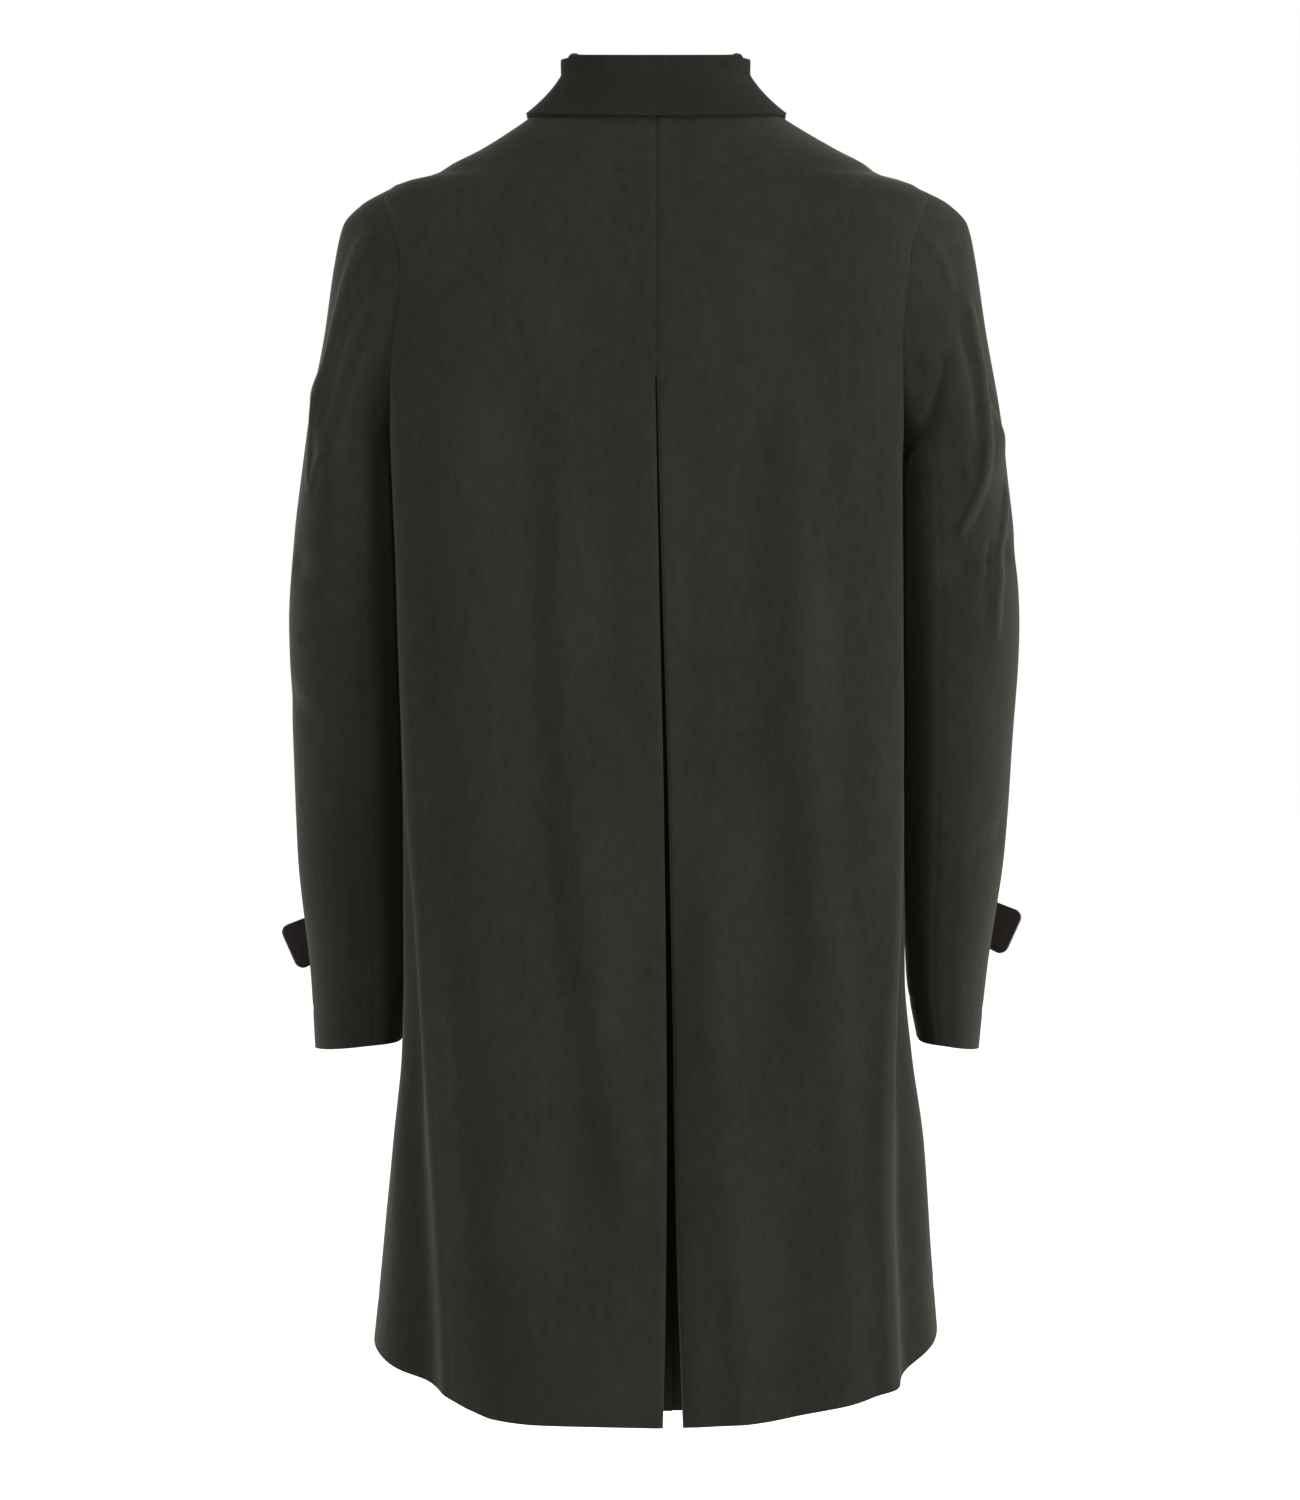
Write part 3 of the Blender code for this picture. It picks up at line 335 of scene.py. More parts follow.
# slight unevenness of hanging wool: (height, size) of each layer of waves, taller than wide,
# and where it starts below the shoulders: (height, fade)
unevenness = {"waves": ((0.0007, 0.085), (0.00035, 0.030)), "tall": 2.2, "calm": 0.06,
              "front": (-0.03, 0.05), "back": (-0.02, 0.06)}


def wobble(points):
    total = np.zeros(points.shape[:-1])
    flat = points.reshape(-1, 3)
    for height, size in unevenness["waves"]:
        values = [noise.noise(Vector((p[0] / size, p[1] / size, p[2] / size / unevenness["tall"])))
                  for p in flat]
        total += height * np.array(values).reshape(total.shape)
    return total


def body(side, face, f, z, lift=0.0, over=None, uneven=True):
    f, z = np.broadcast_arrays(np.asarray(f, float), np.asarray(z, float))
    step = coat["probe"]
    points = plainBody(side, face, f, z)
    distance = (1 - f) * girthAt(side, face, z)
    along = plainBody(side, face, f + step, z) - plainBody(side, face, f - step, z)
    up = plainBody(side, face, f, z + step) - plainBody(side, face, f, z - step)
    normal = np.cross(along, up)
    normal /= np.linalg.norm(normal, axis=-1, keepdims=True)
    normal *= np.sign((normal[..., :2] * points[..., :2]).sum(axis=-1))[..., None]
    height = foldHeight(side, face, distance, z)
    if face == "front":
        over = over or (1 if side == "left" else -1)
        height = height + over * coat["lapLift"] * ease((coat["lapEnd"] - distance) / coat["lapFade"])
    if uneven:
        top, fade = unevenness[face]
        strength = ease((top - z) / fade)
        if face == "front":
            strength = ease(np.abs(distance) / unevenness["calm"]) * strength
        height = height + wobble(points) * strength
    points = points + normal * (height + lift)[..., None]
    if face == "back":
        reach = np.clip(1 - np.abs(points[..., 0]) / coat["driftReach"], 0, 1) ** 2
        points[..., 0] += through(pleatTable, "drift", z) * reach
    return points


def armholeFraction(side, face, z, angle):
    reach = (coat["armholeBack"] if face == "back" else coat["armholeFront"]) * math.sin(angle)
    row = int(round((z - net["low"]) / net["step"]))
    return float(np.interp(reach, sections[side, face]["y"][row], netFractions))


def rowHeights(side, face, zSide, s):
    level = zSide
    hemAtSide = float(through(hemTable, side, 0.0, key="at"))
    if zSide < coat["underarm"]:
        drop = (zSide - coat["underarm"]) / (hemAtSide - coat["underarm"])
        level = coat["underarm"] + (rowEnds[0].side - coat["underarm"]) * drop
    zCentre = float(through(rowEnds, face, level, key="side"))
    shoulder = ease((zSide - coat["underarm"]) / (coat["sideNeck"] - coat["underarm"]))
    skirt = ease((coat["underarm"] - zSide) / (coat["underarm"] - hemAtSide))
    if face == "front":
        rise = s ** (1 + 1.5 * shoulder)
        hem = np.sin(s * math.pi / 2) ** 1.5
    else:
        rise = 1 - (1 - s) ** (1 + shoulder)
        hem = (through(hemTable, side, s, key="at") - hemAtSide) / (rowEnds[0].back - hemAtSide)
    return zSide + (zCentre - zSide) * (rise + (hem - rise) * skirt)


panelRowsCount = {"shoulder": 22, "armhole": 64, "skirt": 150}


def panelRows(side):
    count = panelRowsCount
    hemAtSide = float(through(hemTable, side, 0.0, key="at"))
    rows = [(z, None) for z in np.linspace(coat["sideNeck"], coat["shoulderTip"], count["shoulder"] + 1)[:-1]]
    for step in range(count["armhole"] + 1):
        angle = math.pi * step / count["armhole"]
        rows.append((armMiddle + armHalf * math.cos(angle), angle))
    return rows + [(z, None) for z in np.linspace(coat["underarm"], hemAtSide, count["skirt"] + 1)[1:]]


# how the cloth dips where two pieces are sewn together, and where a hem is felled
sewn = {"seamDepth": 0.0013, "seamWidth": 0.0024, "sleeveSeamDepth": 0.0004, "sleeveSeamWidth": 0.0022,
        "armholeDepth": 0.0003, "armholeWidth": 0.0030,
        "hemUp": 0.034, "hemDepth": 0.00045, "hemWidth": 0.0030}


def hemDip(aboveHem):
    return -sewn["hemDepth"] * bump(aboveHem - sewn["hemUp"], sewn["hemWidth"])


backCut = {"columns": 150, "turn": 0.0022, "closedTurn": 0.55, "return": 0.060, "turnSteps": 6,
           "returnSteps": 14, "underlaySteps": 14, "underlayRise": 1.1, "openOver": 0.016,
           "layerFrom": 0.10, "flatMiddle": 0.010, "underlayGap": 0.00003}


def backPanel(side):
    sign = 1 if side == "left" else -1
    main, layers, marks = [], [], []
    s = np.linspace(0, 1, backCut["columns"] + 1)
    for zSide, angle in panelRows(side):
        start = 0.0 if angle is None else armholeFraction(side, "back", zSide, angle)
        z = rowHeights(side, "back", zSide, s)
        girth = float(girthAt(side, "back", z[-1]))
        below = coat["pleatTop"] - z[-1]
        opened = float(ease(below / backCut["openOver"]))
        mouth = float(through(pleatTable, "mouth", z[-1]))
        turn = backCut["turn"] * (backCut["closedTurn"] + (1 - backCut["closedTurn"]) * opened)
        edge = (mouth + coat["wall"] / 2 + turn) * opened if below > 0 else 0.0
        f = start + (1 - start) * s * (1 - edge / girth / (1 - start))
        f[0] += coat["seamGap"] / 2 / girth
        fromSide, fromCentre = (f - start) * girth, (1 - f) * girth
        dip = -sewn["seamDepth"] * bump(fromCentre, sewn["seamWidth"]) * (1 - opened)
        if angle is None:
            dip = dip - sewn["seamDepth"] * bump(fromSide, sewn["seamWidth"])
        else:
            dip = dip - sewn["armholeDepth"] * bump(fromSide, sewn["armholeWidth"])
        hemZ = through(hemTable, side, s, key="at")
        dip = dip + hemDip(z - hemZ)
        row = body(side, "back", f, z, dip)
        if below <= 0:
            row[-1, 0] = sign * coat["seamGap"] / 2
        main.append(row)
        showing = opened > backCut["layerFrom"]
        layers.append(pleatLayer(row, sign, z[-1], mouth, turn) if showing else None)
        # painted highlight along the crest of the pressed edge, fading out towards the top
        ridge = bump(fromCentre - through(edgeTable, side, z), pressedEdge["highlightWidth"])
        marks.append(ridge * ease((pressedEdge["top"] - z) / pressedEdge["highlightFade"]))
    width = max(len(layer) for layer in layers if layer is not None)
    empty = np.full((width, 3), np.nan)
    grid = np.concatenate([np.array(main), np.array([empty if a is None else a for a in layers])], axis=1)
    paintedHighlight = np.concatenate([np.array(marks), np.zeros((len(marks), width))], axis=1)
    return grid, paintedHighlight


def pleatLayer(row, sign, z, mouth, turn):
    drift, inner, underlay = (float(through(pleatTable, name, z)) for name in ("drift", "inner", "underlay"))
    edge = mouth + coat["wall"] / 2 + turn
    run = math.sqrt(backCut["return"] ** 2 - (inner - 2 * turn) ** 2)
    far = edge + run
    places = []
    for a in np.linspace(0, math.pi, backCut["turnSteps"] + 1)[1:]:
        places.append((edge - turn * math.sin(a), turn * (1 - math.cos(a))))
    for t in np.linspace(0, 1, backCut["returnSteps"] + 1)[1:]:
        places.append((edge + run * t, 2 * turn + (inner - 2 * turn) * t))
    for a in np.linspace(0, math.pi, backCut["turnSteps"] + 1)[1:]:
        places.append((far + turn * math.sin(a), inner + turn * (1 - math.cos(a))))
    last = inner + 2 * turn
    deepest = max(underlay, last)
    for t in np.linspace(0, 1, backCut["underlaySteps"] + 1)[1:]:
        rise = ease(t * backCut["underlayRise"])
        places.append((far + (backCut["flatMiddle"] - far) * t, last + (deepest - last) * rise))
    places.append((backCut["underlayGap"], deepest))
    xs = (row[:, 0] - drift) * sign
    order = np.argsort(xs)
    layer = np.array(places)
    y = np.interp(layer[:, 0], xs[order], row[order, 1]) - layer[:, 1]
    height = np.interp(layer[:, 0], xs[order], row[order, 2])
    return np.stack([drift + sign * layer[:, 0], y, height], axis=1)


frontCut = {"columns": 88, "lapColumns": 12, "spread": 0.10}


def frontPanel(side):
    grid = []
    for zSide, angle in panelRows(side):
        start = 0.0 if angle is None else armholeFraction(side, "front", zSide, angle)
        s = np.linspace(0, 1, frontCut["columns"] + 1)
        z = rowHeights(side, "front", zSide, s)
        if angle is not None:  # the rows crowd at both ends of the armhole, and soon spread evenly
            even = rowHeights(side, "front", armMiddle + armHalf * (1 - 2 * angle / math.pi), s)
            z += (even - z) * ease(s / frontCut["spread"])
        girth = float(girthAt(side, "front", z[-1]))
        lap = coat["lapWidth"] / girth
        f = np.append(start + (1 - start) * s, 1 + lap * np.linspace(0, 1, frontCut["lapColumns"] + 1)[1:])
        f[0] += coat["seamGap"] / 2 / girth
        aboveHem = z - rowHeights(side, "front", float(through(hemTable, side, 0.0, key="at")), s)
        z = np.append(z, np.full(frontCut["lapColumns"], z[-1]))
        aboveHem = np.append(aboveHem, np.full(frontCut["lapColumns"], aboveHem[-1]))
        fromSide = (f - start) * girth
        seam = "seam" if angle is None else "armhole"
        dip = -sewn[seam + "Depth"] * bump(fromSide, sewn[seam + "Width"]) + hemDip(aboveHem)
        grid.append(body(side, "front", f, z, dip))
    return np.array(grid), None


armRoom = {"seam": 0.0003, "underarm": 0.0014, "fade": 0.07, "radius": 0.06, "square": 3.8, "calm": 0.04,
           "foldStart": 0.03, "foldEnd": 0.012, "creaseStart": 0.008, "creaseEnd": 0.014,
           "creasePast": 0.004, "highlightShare": 0.7, "highlightHeight": 0.004}


def armholeCurve(side):
    sign = 1 if side == "left" else -1
    angles = np.linspace(-math.pi, math.pi, 361)
    points = []
    for angle in angles:
        z = armMiddle + armHalf * math.cos(angle)
        face = "back" if angle >= 0 else "front"
        f = armholeFraction(side, face, z, abs(angle))
        point = body(side, face, [f], [z], -sewn["armholeDepth"])[0]
        point[0] += sign * (armRoom["seam"] + armRoom["underarm"] * (angle / math.pi) ** 2)
        points.append(point)
    return angles, np.array(points)


def oval(side, theta, z):
    half = coat["wall"] / 2
    outer = through(sleeveTable, side + "Outer", z) - half
    inner = through(sleeveTable, side + "Inner", z) + half
    back = through(sleeveTable, "back", z) - half
    front = through(sleeveTable, "front", z) - half
    # the part that lies beside the body is squarer than an oval
    towards, behind = np.cos(theta), np.sin(theta)
    power = armRoom["square"]
    square = (np.abs(towards) ** power + np.abs(behind) ** power) ** (-1 / power)
    square = np.where((towards < 0) & (behind > 0), square, 1.0)
    x = (outer + inner) / 2 + (outer - inner) / 2 * towards * square
    y = (back - front) / 2 + (back + front) / 2 * behind * square
    return np.stack([x * (1 if side == "left" else -1), y], axis=-1)


def sleeveFoldHeight(each, degrees, z):
    metres = math.radians(1) * armRoom["radius"]
    start = np.array([each.angle1 * metres, each.z1])
    line = np.array([each.angle2 * metres, each.z2]) - start
    length = np.linalg.norm(line)
    line /= length
    dx, dz = degrees * metres - start[0], z - start[1]
    along, off = dx * line[0] + dz * line[1], dx * line[1] - dz * line[0]
    fade = armRoom["foldEnd"]
    ends = ease((along + fade) / (2 * fade)) * ease((length + fade - along) / (2 * fade))
    return each.height * ends * bump(off, each.width)


def creaseReach(path, degrees, z):
    # distance from the line of the crease, and how it fades towards its two ends
    metres = math.radians(1) * armRoom["radius"]
    places = np.array([(a * metres, height) for a, height in path])
    lengths = np.hypot(*np.diff(places, axis=0).T)
    ends = np.concatenate([[0], lengths.cumsum()])
    nearest = np.full(degrees.shape, np.inf)
    along = np.zeros(degrees.shape)
    for start, finish, length, before in zip(places[:-1], places[1:], lengths, ends):
        line = (finish - start) / length
        dx, dz = degrees * metres - start[0], z - start[1]
        t = np.clip(dx * line[0] + dz * line[1], 0, length)
        away = np.hypot(dx - line[0] * t, dz - line[1] * t)
        along = np.where(away < nearest, before + t, along)
        nearest = np.minimum(away, nearest)
    past, end = armRoom["creasePast"], armRoom["creaseEnd"]
    return nearest, ease((along + past) / end) * ease((ends[-1] + past - along) / end)


def creaseHeight(side, degrees, z):
    total, ridges = np.zeros(z.shape), np.zeros(z.shape)
    for each in creases:
        if each.side != side:
            continue
        nearest, fade = creaseReach(each.path, degrees, z)
        strength = bump(nearest, each.width) * fade
        total += each.height * strength
        # raised creases also get a painted highlight along their crest
        if each.height > 0:
            highlight = bump(nearest, each.width * armRoom["highlightShare"]) * fade
            ridges = np.maximum(ridges, highlight * each.height / armRoom["highlightHeight"])
    return total, ridges


def sleeve(side, theta, z, curve, lift=0.0):
    theta, z = np.broadcast_arrays(np.asarray(theta, float), np.asarray(z, float))
    level = np.maximum(z, coat["underarm"])
    reach = np.arccos(np.clip((level - armMiddle) / armHalf, -1, 1))
    at = np.where(theta >= 0, reach, -reach)
    angles, points = curve
    edge = np.stack([np.interp(at, angles, points[:, 0]), np.interp(at, angles, points[:, 1])], axis=-1)
    share = (theta / np.maximum(reach, 1e-6)) ** 2
    share = share * ease((z - coat["underarm"] + armRoom["fade"]) / armRoom["fade"])
    flat = oval(side, theta, z) + (edge - oval(side, at, level)) * np.clip(share, 0, 1)[..., None]
    out = flat - (oval(side, 0.0, z) + oval(side, math.pi, z)) / 2
    out /= np.linalg.norm(out, axis=-1, keepdims=True)
    height = np.zeros_like(z)
    for each in sleeveFolds:
        if each.side == side:
            height = height + sleeveFoldHeight(each, np.degrees(theta), z)
    fromTop = armMiddle + armHalf * np.cos(theta) - z
    height = height * ease(fromTop / armRoom["foldStart"])
    height = height + creaseHeight(side, np.degrees(theta), z)[0] * ease(fromTop / armRoom["creaseStart"])
    points = np.concatenate([flat, z[..., None]], axis=-1)
    height = height + wobble(points) * ease(fromTop / armRoom["calm"]) + lift
    points[..., :2] += out * height[..., None]
    return points


# the two seams of a sleeve stand at these steps of its girth
sleeveCut = {"rows": 232, "crowding": 1.35, "cuff": -0.758, "tilt": 0.004, "steps": 22, "backSeam": 7,
             "frontSeam": 16, "topColumns": 96, "underColumns": 56, "narrow": 0.043, "gapShare": 0.6,
             "cuffHem": 0.032, "seamFade": 0.02, "paintedHighlight": 1.0}


def sleevePanel(side, first, last, columns, curve):
    cut = sleeveCut
    theta = 2 * math.pi * np.linspace(first, last, columns + 1) / cut["steps"]
    gap = coat["seamGap"] * cut["gapShare"] / cut["narrow"]
    theta[0] += gap
    theta[-1] -= gap
    fromSeam = np.minimum(theta - theta[0], theta[-1] - theta) * cut["narrow"]
    theta = (theta + math.pi) % (2 * math.pi) - math.pi
    top = armMiddle + armHalf * np.cos(theta)
    bottom = cut["cuff"] - cut["tilt"] * np.cos(theta)
    t = (np.arange(cut["rows"] + 1) / cut["rows"])[:, None] ** cut["crowding"]
    z = top + (bottom - top) * t
    dip = -sewn["sleeveSeamDepth"] * bump(fromSeam, sewn["sleeveSeamWidth"])[None, :]
    dip = dip * ease((top - z) / cut["seamFade"])
    dip = dip - sewn["hemDepth"] * bump(z - bottom - cut["cuffHem"], sewn["hemWidth"])
    theta = np.broadcast_to(theta, z.shape)
    # painted highlight along the raised creases
    ridges = creaseHeight(side, np.degrees(theta), z)[1]
    return sleeve(side, theta, z, curve, dip), ridges * cut["paintedHighlight"]


collarCut = {"wall": 0.003, "lift": 0.0042, "frontLift": 0.0022, "spread": 0.13, "frontEnd": 0.965,
             "turn": 0.0028, "foot": 0.0021, "setback": 0.0004, "lean": 0.001, "sideLean": -0.0075,
             "sideTurn": 1.2, "leanEnd": 0.90, "rounding": 6, "edgeDrop": 0.001, "probe": 0.02,
             "steepest": 0.5, "backColumns": 64, "frontColumns": 84, "standSteps": 8, "turnSteps": 12,
             "fallSteps": 30, "paintedHighlight": 0.45, "paintedHighlightWidth": 0.0014}


def neckEdge(side):
    back = np.linspace(1, 0, collarCut["backColumns"] + 1)
    front = np.linspace(0, 1, collarCut["frontColumns"] + 1)[1:] * collarCut["frontEnd"]
    places = []
    for face, fractions in (("back", back), ("front", front)):
        heights = rowHeights(side, face, coat["sideNeck"], fractions)
        places += [(face, f, z) for f, z in zip(fractions, heights)]
    return places


def collarHalf(side):
    cut = collarCut
    places = neckEdge(side)
    base = np.array([body(side, face, [f], [z], uneven=False)[0] for face, f, z in places])
    length = np.concatenate([[0], np.linalg.norm(np.diff(base, axis=0), axis=1).cumsum()])
    along = length / length[-1]
    run = np.gradient(base[:, :2], axis=0)
    run[0] = (run[1, 0], 0)
    for _ in range(cut["rounding"]):  # the cloth's own stiffness rounds the turn at the side of the neck
        run[1:-1] = (run[:-2] + run[1:-1] + run[2:]) / 3
    steps = np.linspace(0, 1, cut["fallSteps"] + 1)[1:]
    columns = []
    for i, (face, f, z) in enumerate(places):
        stand, drop, sag = (float(through(collarTable, name, along[i], key="along"))
                            for name in ("stand", "drop", "sag"))
        front = f if face == "front" else 0.0
        lift = cut["lift"] + cut["frontLift"] * front
        spread = cut["spread"] * front ** 3
        away = np.array([run[i, 1], -run[i, 0], 0])
        away *= np.sign(away @ base[i]) / np.linalg.norm(away)
        foot = base[i] + away * cut["setback"] + np.array([0, 0, cut["foot"]])
        sideways = float(ease(cut["sideTurn"] * abs(away[0])) * ease(1 - front / cut["leanEnd"]))
        lean = cut["lean"] + (cut["sideLean"] - cut["lean"]) * sideways
        top = base[i] + np.array([0, 0, stand]) + away * lean
        r = cut["turn"]
        shoulder = top - np.array([0, 0, r])
        column = [foot + (shoulder - foot) * t for t in np.linspace(0, 1, cut["standSteps"] + 1)]
        for a in np.linspace(0, math.pi, cut["turnSteps"] + 1)[1:]:
            column.append(top + away * r * (1 - math.cos(a)) + np.array([0, 0, r * math.sin(a) - r]))
        start = column[-1]
        edge = body(side, face, np.array([f - spread]), np.array([z - drop]), lift, 1, False)[0]
        t = steps[:, None]
        points = start + (edge - start) * t - away * sag * 4 * t * (1 - t)
        height = np.minimum(points[:, 2], z - cut["edgeDrop"])
        below = body(side, face, f - spread * steps, height, lift, 1, False)
        beside = body(side, face, f - spread * steps + cut["probe"], height, lift, 1, False)
        level = np.cross(beside - below, (0, 0, 1))
        level *= (np.sign(level @ away) / np.linalg.norm(level, axis=1))[:, None]
        sunk = np.maximum(0.0, ((below - points) * level).sum(axis=1))
        points = points + away * (sunk / np.maximum(cut["steepest"], level @ away))[:, None]
        columns.append(np.concatenate([np.array(column), points]))
    return np.array(columns)


def collarPanel():
    left, right = collarHalf("left"), collarHalf("right")
    grid = np.concatenate([right[::-1], left[1:]], axis=0)
    # painted highlight along the collar's outer edge
    return grid, collarCut["paintedHighlight"] * bump(toCollarEdge(grid), collarCut["paintedHighlightWidth"])


def toCollarEdge(grid):
    steps = np.linalg.norm(np.diff(grid, axis=1), axis=-1)[:, ::-1].cumsum(axis=1)[:, ::-1]
    return np.concatenate([steps, np.zeros((len(grid), 1))], axis=1)


def intoScene(name, data):
    made = bpy.data.objects.new(name, data)
    bpy.context.scene.collection.objects.link(made)
    return made


def evaluatedMesh(made):
    return bpy.data.meshes.new_from_object(made.evaluated_get(bpy.context.evaluated_depsgraph_get()))


def clothObject(name, grid, wall, material, paintedHighlight=None):
    rows, columns = grid.shape[:2]
    real = ~np.isnan(grid[..., 0])
    number = np.full((rows, columns), -1)
    number[real] = np.arange(real.sum())
    corners = np.stack([number[:-1, :-1], number[:-1, 1:], number[1:, 1:], number[1:, :-1]], axis=-1)
    corners = corners.reshape(-1, 4)
    mesh = bpy.data.meshes.new(name)
    mesh.from_pydata(grid[real].tolist(), [], corners[corners.min(axis=1) >= 0].tolist())
    mesh.validate()
    mesh.shade_smooth()
    uses = np.zeros(len(mesh.edges), int)  # an edge used once is a border
    loops = np.empty(len(mesh.loops), np.int32)
    mesh.loops.foreach_get("edge_index", loops)
    np.add.at(uses, loops, 1)
    mesh.attributes.new("sharp_edge", "BOOLEAN", "EDGE").data.foreach_set("value", uses == 1)
    # painted highlight on ridges and edges, read by the wool material
    marks = mesh.attributes.new("paintedHighlight", "FLOAT", "POINT")
    if paintedHighlight is not None:
        marks.data.foreach_set("value", paintedHighlight[real].astype(np.float32))
    piece = intoScene(name, mesh)
    solid = piece.modifiers.new("wall", "SOLIDIFY")
    solid.thickness = wall
    solid.offset = 0
    mesh.materials.append(material)
    return piece


# node trees: an input takes a plain value, or the output of another node that it is linked to
def setInputs(tree, node, inputs):
    for name, value in inputs.items():
        if isinstance(value, bpy.types.NodeSocket):
            tree.links.new(value, node.inputs[name])
        else:
            node.inputs[name].default_value = value


def addNode(tree, kind, inputs=None, **settings):
    made = tree.nodes.new(kind)
    for name, value in settings.items():
        setattr(made, name, value)
    setInputs(tree, made, inputs or {})
    return made


def newTree(name, kind, inputs, outputs):
    tree = bpy.data.node_groups.new(name, kind)
    for label, (sort, value) in inputs.items():
        made = tree.interface.new_socket(name=label, in_out="INPUT", socket_type="NodeSocket" + sort)
        if value is not None:
            made.default_value = value
    for label, sort in outputs.items():
        tree.interface.new_socket(name=label, in_out="OUTPUT", socket_type="NodeSocket" + sort)
    return tree, tree.nodes.new("NodeGroupInput"), tree.nodes.new("NodeGroupOutput")


def darkToLight(tree, given, factor):
    inputs = {"Factor": factor, 6: given.outputs["Dark"], 7: given.outputs["Light"]}
    return addNode(tree, "ShaderNodeMix", inputs, data_type="RGBA").outputs[2]


# how much each layer of the nap tells in the tone and in the height, and how much the painted highlight
# lightens the tone
nap = {"fibre": 0.45, "clump": 0.55, "cloud": 0.50, "paintedHighlight": 0.45, "darkest": 0.51, "lightest": 1.05,
       "stretch": 0.42, "fibreHeight": 0.55, "clumpHeight": 0.9, "roughness": 0.6}


def napGroup():
    tree, given, out = newTree(
        "wool nap", "ShaderNodeTree",
        {"Dark": ("Color", (0.02, 0.02, 0.02, 1)), "Light": ("Color", (0.05, 0.05, 0.05, 1)),
         "Fibre Scale": ("Float", 900.0), "Clump Scale": ("Float", 160.0), "Cloud Scale": ("Float", 14.0),
         "Painted Highlight": ("Float", 0.0)},
        {"Colour": "Color", "Height": "Float"})
    place = addNode(tree, "ShaderNodeTexCoord").outputs["Object"]
    lay = addNode(tree, "ShaderNodeMapping", {"Scale": (1.0, 1.0, nap["stretch"]), "Vector": place})
    layers = []
    for name, detail in (("Fibre Scale", 3.0), ("Clump Scale", 3.0), ("Cloud Scale", 2.0)):
        inputs = {"Detail": detail, "Roughness": nap["roughness"], "Vector": lay.outputs["Vector"],
                  "Scale": given.outputs[name]}
        layers.append(addNode(tree, "ShaderNodeTexNoise", inputs).outputs["Fac"])

    def plus(layer, share, rest=0.0):
        inputs = {0: layer, 1: share, 2: rest}
        return addNode(tree, "ShaderNodeMath", inputs, operation="MULTIPLY_ADD").outputs[0]

    tone = plus(layers[0], nap["fibre"])
    tone = plus(layers[1], nap["clump"], tone)
    tone = plus(layers[2], nap["cloud"], tone)
    # painted highlight: ridges and edges made lighter in tone
    tone = plus(given.outputs["Painted Highlight"], nap["paintedHighlight"], tone)
    spread = addNode(tree, "ShaderNodeMapRange",
                     {"From Min": nap["darkest"], "From Max": nap["lightest"], "Value": tone})
    height = plus(layers[1], nap["clumpHeight"], plus(layers[0], nap["fibreHeight"]))
    setInputs(tree, out, {"Colour": darkToLight(tree, given, spread.outputs["Result"]), "Height": height})
    return tree


grainLook = {"valley": 0.22, "patchScale": 60.0, "patchDetail": 4.0}


def grainGroup():
    tree, given, out = newTree(
        "fine grain", "ShaderNodeTree",
        {"Dark": ("Color", (0.01, 0.01, 0.01, 1)), "Light": ("Color", (0.04, 0.03, 0.03, 1)),
         "Scale": ("Float", 700.0), "Streak": ("Float", 1.0)},
        {"Colour": "Color", "Height": "Float"})
    place = addNode(tree, "ShaderNodeTexCoord").outputs["Object"]
    stretch = addNode(tree, "ShaderNodeCombineXYZ", {"X": 1.0, "Y": 1.0, "Z": given.outputs["Streak"]})
    lay = addNode(tree, "ShaderNodeVectorMath", {0: place, 1: stretch.outputs["Vector"]},
                  operation="MULTIPLY").outputs["Vector"]
    cells = addNode(tree, "ShaderNodeTexVoronoi", {"Vector": lay, "Scale": given.outputs["Scale"]},
                    feature="DISTANCE_TO_EDGE")
    soft = addNode(tree, "ShaderNodeMapRange",
                   {"From Max": grainLook["valley"], "Value": cells.outputs["Distance"]},
                   interpolation_type="SMOOTHSTEP")
    patches = addNode(tree, "ShaderNodeTexNoise", {"Scale": grainLook["patchScale"],
                                                   "Detail": grainLook["patchDetail"], "Vector": lay})
    setInputs(tree, out, {"Colour": darkToLight(tree, given, patches.outputs["Fac"]),
                          "Height": soft.outputs["Result"]})
    return tree


wool = napGroup()
grain = grainGroup()


def newMaterial(name):
    material = bpy.data.materials.new(name)
    material.use_nodes = True
    return material, material.node_tree


loden = {"dark": (0.0190, 0.0200, 0.0135), "light": (0.0400, 0.0410, 0.0300), "roughness": 0.95,
         "specular": 0.22, "sheen": 0.20, "sheenRoughness": 0.38, "sheenTint": (0.78, 0.80, 0.62, 1),
         "bump": 0.6, "bumpDepth": 0.0006, "grainDepth": 0.0003}


def surface(tree, group, face, relief, depth, looks):
    skin = addNode(tree, "ShaderNodeGroup", face, node_tree=group)
    raised = addNode(tree, "ShaderNodeBump",
                     {"Strength": relief, "Distance": depth, "Height": skin.outputs["Height"]})
    setInputs(tree, tree.nodes["Principled BSDF"],
              {"Base Color": skin.outputs["Colour"], "Normal": raised.outputs["Normal"], **looks})


def lodenMaterial(name, lighter=1.0, sheen=1.0):
    material, tree = newMaterial(name)
    # the painted highlight on ridges and edges comes from a mesh attribute
    highlightMask = addNode(tree, "ShaderNodeAttribute", attribute_name="paintedHighlight")
    face = {tone.title(): (*(c * lighter for c in loden[tone]), 1) for tone in ("dark", "light")}
    surface(tree, wool, {**face, "Painted Highlight": highlightMask.outputs["Fac"]}, loden["bump"], loden["bumpDepth"],
            {"Roughness": loden["roughness"], "Specular IOR Level": loden["specular"],
             "Sheen Weight": loden["sheen"] * sheen, "Sheen Roughness": loden["sheenRoughness"],
             "Sheen Tint": loden["sheenTint"]})
    return material


